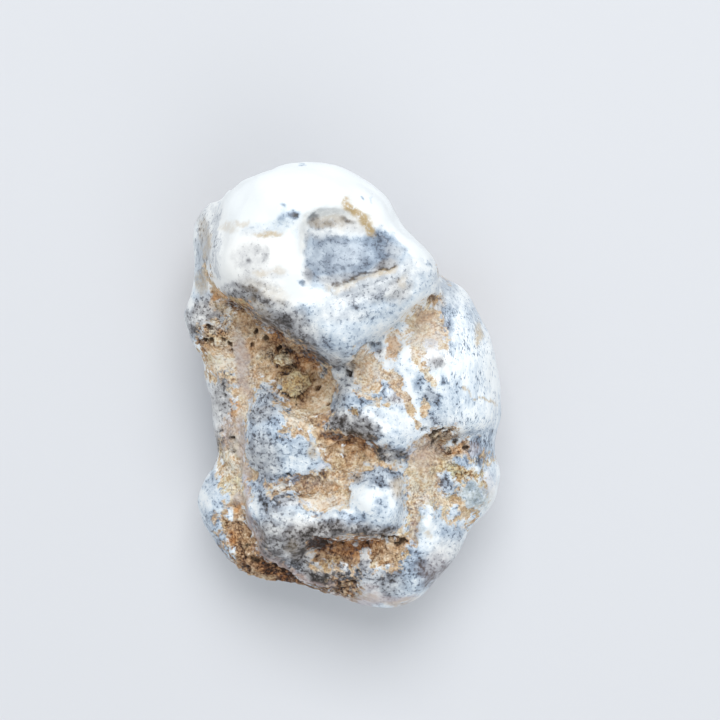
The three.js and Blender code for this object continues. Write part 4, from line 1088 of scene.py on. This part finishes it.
# %% Lumps, plates and holes
LUMPS = [
    [(-14.0, -0.2), (-13.4, 1.0), (-12.0, 1.5), (-10.6, 0.9), (-10.2, -0.6), (-12.3, -1.2)],
    [(-13.0, -2.2), (-11.2, -1.6), (-10.1, -0.7), (-8.8, -1.8), (-7.6, -3.4), (-8.2, -5.2),
     (-10.4, -7.2), (-12.8, -5.7)],
]
LUMP_HEIGHT = 1.1
RIM_HEIGHT = 0.35
press("lumps", front * np.max([field(points, edge=0.4) for points in LUMPS], axis=0), -LUMP_HEIGHT)
press("rim", front * seam(PLATE_RIM, half_width=0.5, shaken=False), -RIM_HEIGHT)

PLATES = [
    (-3.0, 2.0), (2.0, 4.0), (7.0, 8.0), (12.5, 10.5), (15.0, 3.0), (13.0, -8.0), (9.0, -12.0),
    (5.0, -7.0), (-1.0, -6.0),
]
solid_rock = soft(rock, 0.20, 0.80)
ROCK_DEPTH = 0.35
HOLE_DEPTH = 0.8
CRACK_DEPTH = 0.75
press("rock", solid_rock * (1.0 - 0.8 * field(PLATES)), ROCK_DEPTH)
press("holes", hole, HOLE_DEPTH)
press("cracks", crack, CRACK_DEPTH)
print("Pressed in:", len(LUMPS), "lumps,", len(HOLES), "holes and", len(CRACKS), "cracks")

# %% [markdown]
# Host rock is rough in three sizes: lumps, clods with grooves between them, and grain. Opal
# only waves a little. Here a texture drives the displacement, to both sides of the skin.

# %% Rough rock and gentle opal
COARSE_DEPTH, COARSE_SIZE = 1.5, 2.4
CLODS_DEPTH, CLODS_SIZE = 1.3, 1.5
GRAINS_DEPTH, GRAINS_SIZE = 0.9, 0.8
WAVES_DEPTH, WAVES_SIZE = 0.30, 3.2
clods = solid_rock * crumbs
lumpy = solid_rock * (0.55 + 0.45 * crumbs)
press("rock_lumps", lumpy, COARSE_DEPTH, clouds_texture("rock_lumps", COARSE_SIZE))
press("rock_clods", clods, CLODS_DEPTH, cell_texture("rock_clods", CLODS_SIZE))
press("rock_grain", clods, GRAINS_DEPTH, clouds_texture("rock_grain", GRAINS_SIZE, depth=2))
press("opal_waves", 1.0 - solid_rock, WAVES_DEPTH, clouds_texture("opal_waves", WAVES_SIZE, depth=2))
alone(stone)
bpy.ops.object.shade_smooth()
print("Relief pressed into", len(stone.data.vertices), "vertices")

# %% [markdown]
# Dust and damp gather in the small hollows of rough rock and wear off its crests, and the
# hollows also lie in shade, which is painted here. So each vertex is compared with its
# surroundings: the mesh is smoothed in numbers only, and a vertex that lies below its smoothed
# self is in a hollow. Rock gets darker there, partly as dirt and partly as painted shade, and
# moss denser, as painted shade. On the crests the rock gets lighter, partly as wear and partly
# as a painted highlight.

# %% Hollows and crests, with painted shade and highlight
HOLLOW_SHADE_AND_DIRT = 0.75
HOLLOW_MOSS_AS_SHADE = 0.5
SMOOTH_AROUND = 10


def hollowness(thing, rounds):
    """How far in mm each vertex lies below its surroundings, smoothed over so many rounds."""
    count = len(thing.data.vertices)
    ends = np.empty(2 * len(thing.data.edges), np.int32)
    thing.data.edges.foreach_get("vertices", ends)
    a, b = ends.reshape(-1, 2).T
    neighbours = np.bincount(a, minlength=count) + np.bincount(b, minlength=count)
    start = read(thing.data, "co") / MM
    smooth = start.copy()
    for _ in range(rounds):
        for axis in range(3):
            total = np.bincount(a, smooth[b, axis], count) + np.bincount(b, smooth[a, axis], count)
            smooth[:, axis] = 0.5 * (smooth[:, axis] + total / neighbours)
    return ((smooth - start) * read(thing.data, "normal")).sum(axis=1)


hollow = hollowness(stone, SMOOTH_AROUND)
# Painted shade in the hollows and a painted highlight on the crests, mixed with dirt and wear
tone = tone - HOLLOW_SHADE_AND_DIRT * np.clip(hollow, -0.12, 0.35)
# Denser moss in the hollows is painted shade
cloud_and_shade = cloud_and_shade + HOLLOW_MOSS_AS_SHADE * np.clip(hollow, -0.05, 0.3) * (cloud_and_shade > 0.05)
print("Deepest small hollow:", round(float(hollow.max()), 2), "mm")

# %% [markdown]
# The patches reach the finish as attributes on the vertices. They stay on the stone, and
# turning the stone doesn't slide them, which a projected picture would.

# %% Attributes
PATCHES = {
    "rock": rock, "tone": tone, "warmth": warmth, "crumbs": crumbs, "ash": ash_part,
    "cloud_and_shade": cloud_and_shade, "deep": deep, "drab_with_painted_light": drab_with_painted_light, "streak": streak,
    "stain": stain, "smoke_and_shade": smoke_and_shade, "pink": pink, "hole": np.maximum(hole, crack),
}
for name, values in PATCHES.items():
    attribute = stone.data.attributes.new("patch_" + name, "FLOAT", "POINT")
    attribute.data.foreach_set("value", values.astype(np.float32))
print("Attributes:", ", ".join(PATCHES))

# %% [markdown]
# The finish is built from node groups: small machines with named inputs and outputs. They
# could be wired one by one in the editor. The helpers below do it in fewer words: they
# place a node, plug values or links into it, and give back its output.

# %% Node helpers
def srgb(red, green, blue):
    """A colour picked on screen, 0 to 255, as the linear colour a shader needs."""
    return (*[((c / 255 + 0.055) / 1.055) ** 2.4 for c in (red, green, blue)], 1.0)


def plug(tree, socket, value):
    """Links a socket into another, or sets its value."""
    if isinstance(value, bpy.types.NodeSocket):
        tree.links.new(value, socket)
    else:
        socket.default_value = value


def maths(tree, operation, a, b=0.0, c=0.0, clamp=False):
    """One Math node."""
    made = tree.nodes.new("ShaderNodeMath")
    made.operation = operation
    made.use_clamp = clamp
    for socket, value in zip(made.inputs, (a, b, c)):
        plug(tree, socket, value)
    return made.outputs[0]


def rise(tree, value, low, high):
    """0 below low, 1 above high, smooth between."""
    made = tree.nodes.new("ShaderNodeMapRange")
    made.interpolation_type = "SMOOTHSTEP"
    plug(tree, made.inputs["Value"], value)
    plug(tree, made.inputs["From Min"], low)
    plug(tree, made.inputs["From Max"], high)
    return made.outputs["Result"]


def blend(tree, share, a, b, way="MIX"):
    """Mixes two colours, or tints the first with the second if the way is MULTIPLY."""
    made = tree.nodes.new("ShaderNodeMix")
    made.data_type = "RGBA"
    made.blend_type = way
    plug(tree, made.inputs[0], share)
    plug(tree, made.inputs[6], a)
    plug(tree, made.inputs[7], b)
    return made.outputs[2]


print("Helpers for colours, sums and mixes are ready")

# %% [markdown]
# Patterns come from noise nodes. Their scale counts features per metre, so the helpers take
# the size of one feature in millimetres and turn it round.

# %% Pattern helpers
def noise_node(tree, vector, size, detail=3.0, roughness=0.6, distortion=0.0):
    """Noise with features of this size in mm, around 0.5."""
    made = tree.nodes.new("ShaderNodeTexNoise")
    plug(tree, made.inputs["Vector"], vector)
    plug(tree, made.inputs["Scale"], 1.0 / (size * MM))
    plug(tree, made.inputs["Detail"], detail)
    plug(tree, made.inputs["Roughness"], roughness)
    plug(tree, made.inputs["Distortion"], distortion)
    return made.outputs["Fac"]


def warped(tree, vector, reach, size):
    """The same coordinates, pushed about by a noise of this size, up to so many mm."""
    push = tree.nodes.new("ShaderNodeTexNoise")
    plug(tree, push.inputs["Vector"], vector)
    plug(tree, push.inputs["Scale"], 1.0 / (size * MM))
    made = tree.nodes.new("ShaderNodeVectorMath")
    made.operation = "MULTIPLY_ADD"
    plug(tree, made.inputs[0], push.outputs["Color"])
    made.inputs[1].default_value = (reach * MM,) * 3
    plug(tree, made.inputs[2], vector)
    return made.outputs["Vector"]


def cells_node(tree, vector, size, feature):
    """A Voronoi pattern with cells of this size in mm."""
    made = tree.nodes.new("ShaderNodeTexVoronoi")
    made.feature = feature
    plug(tree, made.inputs["Vector"], vector)
    plug(tree, made.inputs["Scale"], 1.0 / (size * MM))
    return made.outputs


def ramp(tree, value, stops):
    """A colour for each stop between 0 and 1, and smooth changes between them."""
    made = tree.nodes.new("ShaderNodeValToRGB")
    points = made.color_ramp.elements
    while len(points) < len(stops):
        points.new(1.0)
    for point, (position, colour) in zip(points, stops):
        point.position = position
        point.color = srgb(*colour)
    plug(tree, made.inputs["Fac"], value)
    return made.outputs["Color"]


print("Helpers for noise, cells and ramps are ready")

# %% [markdown]
# A node group is made once and used wherever it is needed. The opal needs its growth twice,
# once round and once drawn out, so a group saves wiring the same nodes again.

# %% Group helpers
def new_group(name, inputs, outputs):
    """A node group, with its input and output sockets."""
    tree = bpy.data.node_groups.new(name, "ShaderNodeTree")
    for label, kind in inputs:
        tree.interface.new_socket(name=label, in_out="INPUT", socket_type="NodeSocket" + kind)
    for label, kind in outputs:
        tree.interface.new_socket(name=label, in_out="OUTPUT", socket_type="NodeSocket" + kind)
    return tree, tree.nodes.new("NodeGroupInput").outputs, tree.nodes.new("NodeGroupOutput").inputs


def use_group(tree, group, **values):
    """Places a group in a material and plugs in its inputs."""
    made = tree.nodes.new("ShaderNodeGroup")
    made.node_tree = group
    for label, value in values.items():
        plug(tree, made.inputs[label], value)
    return made.outputs


print("Helpers for groups are ready")

# %% [markdown]
# Moss dendrites: fine mineral growths that thicken into clouds. Three noises do it. A slow
# one lays a haze in drifts, a rough one mottles it, and a fast one draws dark specks wherever
# it passes a limit. The more growth a patch asks for, the lower that limit lies, so specks
# are few at its edge and run together at its heart. Deep growth keeps its haze and loses its
# specks, as if seen through clouded glass. Clean opal gets nothing.

# %% Moss group
DRIFT_SIZE = 3.0
MOTTLE_SIZE = 1.3
SPECK_SIZE = 0.50

moss, moss_in, moss_out = new_group(
    "Moss dendrites",
    [("Vector", "Vector"), ("Amount", "Float"), ("Depth", "Float")],
    [("Shade", "Float"), ("Specks", "Float")],
)
where = moss_in["Vector"]
amount_in = moss_in["Amount"]
depth_in = moss_in["Depth"]

# The drift moves the growth up and down, less so where it is deep
drift = maths(moss, "SUBTRACT", noise_node(moss, where, DRIFT_SIZE, detail=2.0), 0.5)
swing = maths(moss, "MULTIPLY", amount_in, maths(moss, "MULTIPLY_ADD", depth_in, -1.2, 2.2))
there = maths(moss, "MULTIPLY_ADD", drift, swing, amount_in)
present = rise(moss, there, 0.01, 0.20)

# More growth makes a thicker haze
thickness = maths(moss, "MULTIPLY_ADD", there, 0.34, maths(moss, "MULTIPLY_ADD", depth_in, 0.12, 0.44))
haze = maths(moss, "MULTIPLY", there, thickness)

# The mottle is darker and lighter than the haze
rough = maths(moss, "SUBTRACT", noise_node(moss, where, MOTTLE_SIZE, detail=6.0, roughness=0.70), 0.5)
mottle = maths(moss, "MULTIPLY", rough, maths(moss, "MULTIPLY_ADD", there, 0.8, 1.0))

# Specks stand where their noise passes the limit
speck = noise_node(moss, where, SPECK_SIZE, detail=2.0)
limit = maths(moss, "MULTIPLY_ADD", there, -0.15, 0.655)
speck_mask = rise(moss, maths(moss, "SUBTRACT", speck, limit), -0.04, 0.07)
speck_shade = maths(moss, "MULTIPLY", speck_mask, maths(moss, "MULTIPLY_ADD", there, 0.16, 0.34))

# Deep growth loses its mottle and its specks
veil = maths(moss, "MULTIPLY", present, maths(moss, "MULTIPLY_ADD", depth_in, -0.62, 1.0))
grown = maths(moss, "MULTIPLY", maths(moss, "ADD", mottle, speck_shade), veil)
shade = maths(moss, "MULTIPLY", maths(moss, "ADD", haze, grown), 0.86)
plug(moss, moss_out["Shade"], shade)
plug(moss, moss_out["Specks"], maths(moss, "MULTIPLY", speck_mask, present))
print("Moss group:", len(moss.nodes), "nodes")

# %% [markdown]
# Host rock: a crumbly rock like sandstone. Its colour runs from dark brown to cream along its
# tone. Noises of three sizes shake the tone for clods, dust and sand, and small dark specks
# pepper it. More nodes would be closer to sand, but three sizes are all that shows.

# %% Host rock group
CLOD_SIZE = 2.2
DUST_SIZE = 0.70
SAND_SIZE = 0.36
PEPPER_SIZE = 0.40

host, host_in, host_out = new_group(
    "Host rock",
    [("Vector", "Vector"), ("Tone", "Float"), ("Warmth", "Float"), ("Crumbs", "Float"),
     ("Ash", "Float")],
    [("Color", "Color"), ("Height", "Float")],
)
here = host_in["Vector"]


def grainy(size, detail, roughness=0.6):
    """Noise around zero in the host rock, with features of this size in mm."""
    return maths(host, "SUBTRACT", noise_node(host, here, size, detail, roughness), 0.5)


def by_crumbs(solid, crumbly):
    """A value that grows from solid rock to crumbly rock."""
    return maths(host, "MULTIPLY_ADD", host_in["Crumbs"], crumbly - solid, solid)


clod = grainy(CLOD_SIZE, 4.0, 0.66)
dust = grainy(DUST_SIZE, 3.0, 0.70)
sand = grainy(SAND_SIZE, 1.0)
pepper = rise(host, noise_node(host, here, PEPPER_SIZE, detail=1.0), 0.58, 0.68)
print("Host rock group so far:", len(host.nodes), "nodes")

# %% [markdown]
# Where the rock crumbles, a bent cell pattern adds grains with open gaps between them.
# Straight cells would look like tiles, which is why they are bent first. The noises and the
# grains are added to the tone, and the gaps and the pepper are taken from it. Dust, grains,
# gaps and pepper are stronger where the rock is loose.

# %% Grains and gaps of the host rock
BEND_REACH = 0.9
BEND_SIZE = 1.6
CELL_SIZE = 0.62
GAP_PLACE_SIZE = 1.7

bent = warped(host, here, BEND_REACH, BEND_SIZE)
grain = maths(host, "SUBTRACT", cells_node(host, bent, CELL_SIZE, "F1")["Color"], 0.5)
edge_distance = cells_node(host, bent, CELL_SIZE, "DISTANCE_TO_EDGE")["Distance"]
gap = maths(host, "SUBTRACT", 1.0, rise(host, edge_distance, 0.02, 0.16))
gap_place = rise(host, noise_node(host, here, GAP_PLACE_SIZE, detail=3.0), 0.44, 0.56)
open_gap = maths(host, "MULTIPLY", gap, gap_place)

level = maths(host, "MULTIPLY_ADD", clod, 0.90, host_in["Tone"])
level = maths(host, "MULTIPLY_ADD", sand, maths(host, "MULTIPLY_ADD", host_in["Ash"], 1.5, 0.3), level)
level = maths(host, "MULTIPLY_ADD", dust, by_crumbs(0.80, 1.6), level)
level = maths(host, "MULTIPLY_ADD", grain, by_crumbs(0.07, 0.28), level)
level = maths(host, "SUBTRACT", level, maths(host, "MULTIPLY", open_gap, by_crumbs(0.03, 0.25)))
level = maths(host, "SUBTRACT", level, maths(host, "MULTIPLY", pepper, by_crumbs(0.08, 0.17)))
print("Host rock group with its grains:", len(host.nodes), "nodes")

# %% [markdown]
# The level is now a mask from dark to light, and here it becomes colour. Real host rock is
# rusty in one place and olive in the next, so a soft noise drifts the warmth, and a multiply
# tints the rock without making it flat. A second ramp gives the ash-grey grains. The height
# goes to the bump later on.

# %% Host rock colours
ASH_SIZE = 1.5
WARMTH_SIZE = 1.8
RUST_TINT = (250, 216, 180)
OLIVE_TINT = (236, 238, 214)

earth = ramp(host, level, [
    (0.00, (50, 32, 20)), (0.15, (100, 69, 46)), (0.32, (147, 114, 82)), (0.50, (183, 152, 117)),
    (0.68, (207, 181, 148)), (0.84, (224, 206, 178)), (1.00, (238, 229, 211))])
ash = ramp(host, level, [
    (0.00, (48, 43, 40)), (0.16, (99, 91, 85)), (0.34, (147, 139, 130)), (0.52, (183, 175, 165)),
    (0.70, (208, 202, 193)), (0.90, (231, 228, 221))])
ash_noise = noise_node(host, here, ASH_SIZE, detail=4.0, roughness=0.7, distortion=0.4)
ash_share = maths(host, "MULTIPLY", rise(host, ash_noise, 0.45, 0.56), host_in["Ash"])
mixed = blend(host, ash_share, earth, ash)

warmth_here = maths(host, "MULTIPLY_ADD", grainy(WARMTH_SIZE, 3.0), 2.2, host_in["Warmth"])
warm_share = maths(host, "MULTIPLY", warmth_here, 1.0, clamp=True)
cold_share = maths(host, "MULTIPLY", warmth_here, -1.0, clamp=True)
rust = blend(host, warm_share, mixed, srgb(*RUST_TINT), way="MULTIPLY")
olive = blend(host, cold_share, rust, srgb(*OLIVE_TINT), way="MULTIPLY")
plug(host, host_out["Color"], olive)

crest = maths(host, "MULTIPLY_ADD", dust, by_crumbs(0.7, 2.0), clod)
height = maths(host, "MULTIPLY_ADD", open_gap, by_crumbs(-0.2, -1.0), crest)
plug(host, host_out["Height"], height)
print("Host rock group:", len(host.nodes), "nodes")

# %% [markdown]
# One material carries the whole stone, as one slot does in the record. It lays opal, stains
# and rock over each other by the patch attributes. Two materials would be simpler to wire,
# but their border would follow the edges of the faces. A helper fetches an attribute, and
# another one stretches the coordinates, for growth that is drawn out on the flanks.

# %% The stone's material
finish = bpy.data.materials.new("dendritic_opal")
finish.use_nodes = True
tree = finish.node_tree
shader = tree.nodes["Principled BSDF"]
coordinates = tree.nodes.new("ShaderNodeTexCoord").outputs["Object"]


def patch_value(name):
    """One of the stone's attributes."""
    made = tree.nodes.new("ShaderNodeAttribute")
    made.attribute_name = "patch_" + name
    return made.outputs["Fac"]


def stretched(scale):
    """The stone's own coordinates, drawn out where the scale is small."""
    made = tree.nodes.new("ShaderNodeMapping")
    made.inputs["Scale"].default_value = scale
    plug(tree, made.inputs["Vector"], coordinates)
    return made.outputs["Vector"]


print("An empty material, with", len(tree.nodes), "nodes")

# %% [markdown]
# Opal on the real stone is milky white with a blue cast where the dendrites lie deep, and a
# brown one where they come to the surface. Two ramps give the two casts, and the brown one
# also carries some painted warm light and painted shade. Where a stream of ticks runs along a
# flank, the drawn-out growth takes over from the round one. Stains, smoke, which is partly
# painted shade, and the thin pink skin are laid over it at the end.

# %% The opal's colour
TICK_SIZE = 0.46
TICK_PLACE_SIZE = 2.6
STAIN_SIZE = 0.7
SMOKE_AND_SHADE_COLOUR = (142, 151, 147)
STAIN_COLOUR = (188, 160, 108)
OPAL_SKIN_COLOUR = (190, 168, 164)

amount = patch_value("cloud_and_shade")
depth = patch_value("deep")
upright = stretched((1.0, 1.0, 0.5))
along = stretched((2.0, 0.6, 1.5))
round_growth = use_group(tree, moss, Vector=upright, Amount=amount, Depth=depth)
long_growth = use_group(tree, moss, Vector=along, Amount=amount, Depth=depth)
tick_noise = noise_node(tree, along, TICK_SIZE, detail=1.0)
tick_place = rise(tree, noise_node(tree, coordinates, TICK_PLACE_SIZE, detail=2.0), 0.40, 0.58)
ticks = maths(tree, "MULTIPLY", rise(tree, tick_noise, 0.57, 0.67), tick_place)
ticked = maths(tree, "MULTIPLY_ADD", ticks, 0.50, long_growth["Shade"])
long_share = patch_value("streak")
round_share = maths(tree, "SUBTRACT", 1.0, long_share)
round_part = maths(tree, "MULTIPLY", round_growth["Shade"], round_share)
growth = maths(tree, "MULTIPLY_ADD", ticked, long_share, round_part)

cool = ramp(tree, growth, [
    (0.03, (243, 248, 250)), (0.17, (217, 228, 237)), (0.33, (184, 199, 214)), (0.49, (145, 161, 180)),
    (0.66, (104, 116, 133)), (0.84, (72, 79, 91)), (1.00, (42, 45, 50))])
brownish = ramp(tree, growth, [
    (0.03, (246, 246, 243)), (0.17, (219, 217, 214)), (0.33, (186, 183, 180)), (0.49, (148, 143, 140)),
    (0.66, (107, 101, 97)), (0.84, (76, 69, 64)), (1.00, (44, 38, 33))])
opal = blend(tree, patch_value("drab_with_painted_light"), cool, brownish)

stain_noise = noise_node(tree, coordinates, STAIN_SIZE, detail=3.0)
# Smoke, which on the dimple's upper wall is partly painted shade
smoke_and_shade_share = maths(tree, "MULTIPLY", patch_value("smoke_and_shade"), rise(tree, stain_noise, 0.24, 0.66))
smoked_and_shaded = blend(tree, smoke_and_shade_share, opal, srgb(*SMOKE_AND_SHADE_COLOUR))
stain_share = maths(tree, "MULTIPLY", patch_value("stain"), rise(tree, stain_noise, 0.22, 0.54))
stained = blend(tree, stain_share, smoked_and_shaded, srgb(*STAIN_COLOUR))
opal_skin = maths(tree, "MULTIPLY", patch_value("pink"), 0.6)
skinned = blend(tree, opal_skin, stained, srgb(*OPAL_SKIN_COLOUR))
print("With the opal:", len(tree.nodes), "nodes")

# %% [markdown]
# Host rock clings to the opal in crusts with torn borders. The rock attribute alone would
# fade softly from one to the other, so noise is added only near the middle of that fade, and
# a steep rise turns the sum into a border with islands. Holes are laid over both, and the
# same noise makes them ragged.

# %% Opal and rock together
FRAY_SIZE = 1.2
FRAY_REACH = 24.0
HOLE_SHARE = 0.85
MOSS_COLOUR = (92, 92, 98)
ROCK_SKIN_COLOUR = (182, 168, 164)
HOLE_COLOUR = (52, 38, 24)

rock_parts = use_group(tree, host, Vector=coordinates, Tone=patch_value("tone"),
                       Warmth=patch_value("warmth"), Crumbs=patch_value("crumbs"),
                       Ash=patch_value("ash"))
moss_on_rock = maths(tree, "MULTIPLY", round_growth["Specks"], 0.45)
mossy_rock = blend(tree, moss_on_rock, rock_parts["Color"], srgb(*MOSS_COLOUR))
rock_skin = maths(tree, "MULTIPLY", patch_value("pink"), 0.68)
pink_rock = blend(tree, rock_skin, mossy_rock, srgb(*ROCK_SKIN_COLOUR))

rock_value = patch_value("rock")
fray_noise = noise_node(tree, coordinates, FRAY_SIZE, detail=4.0, roughness=0.68)
near_border = maths(tree, "MULTIPLY", rock_value, maths(tree, "SUBTRACT", 1.0, rock_value))
reach = maths(tree, "MULTIPLY", near_border, FRAY_REACH)
fray = maths(tree, "MULTIPLY", maths(tree, "SUBTRACT", fray_noise, 0.5), reach)
rock_share = rise(tree, maths(tree, "ADD", rock_value, fray), 0.16, 0.84)
body = blend(tree, rock_share, skinned, pink_rock)

tear = maths(tree, "MULTIPLY_ADD", fray_noise, 3.0, -0.5)
ragged = maths(tree, "MULTIPLY", patch_value("hole"), tear)
hole_share = maths(tree, "MULTIPLY", rise(tree, ragged, 0.15, 0.85), HOLE_SHARE)
coloured = blend(tree, hole_share, body, srgb(*HOLE_COLOUR))
plug(tree, shader.inputs["Base Color"], coloured)
print("With the rock and the holes:", len(tree.nodes), "nodes")

# %% [markdown]
# Opal has a soft gloss and crumbly rock none, so the same share that mixes the colours also
# mixes the roughness. Grains of a tenth of a millimetre are too fine for the mesh, so a bump
# stands for them, on the rock only. Everything larger is in the mesh itself.

# %% Smoothness and fine grain
OPAL_ROUGHNESS = 0.42
ROCK_ROUGHNESS = 0.92
BUMP_HEIGHT = 0.25
BUMP_STRENGTH = 0.7

roughness = maths(tree, "MULTIPLY_ADD", rock_share, ROCK_ROUGHNESS - OPAL_ROUGHNESS, OPAL_ROUGHNESS)
plug(tree, shader.inputs["Roughness"], roughness)
bump = tree.nodes.new("ShaderNodeBump")
bump.inputs["Distance"].default_value = BUMP_HEIGHT * MM
bump.inputs["Strength"].default_value = BUMP_STRENGTH
plug(tree, bump.inputs["Height"], maths(tree, "MULTIPLY", rock_parts["Height"], rock_share))
plug(tree, shader.inputs["Normal"], bump.outputs["Normal"])
stone.data.materials.append(finish)
print("Material:", len(tree.nodes), "nodes")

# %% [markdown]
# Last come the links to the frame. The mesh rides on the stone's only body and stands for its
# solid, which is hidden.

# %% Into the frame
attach(stone, "root")
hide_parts("opal_nodule")
nothing_selected()
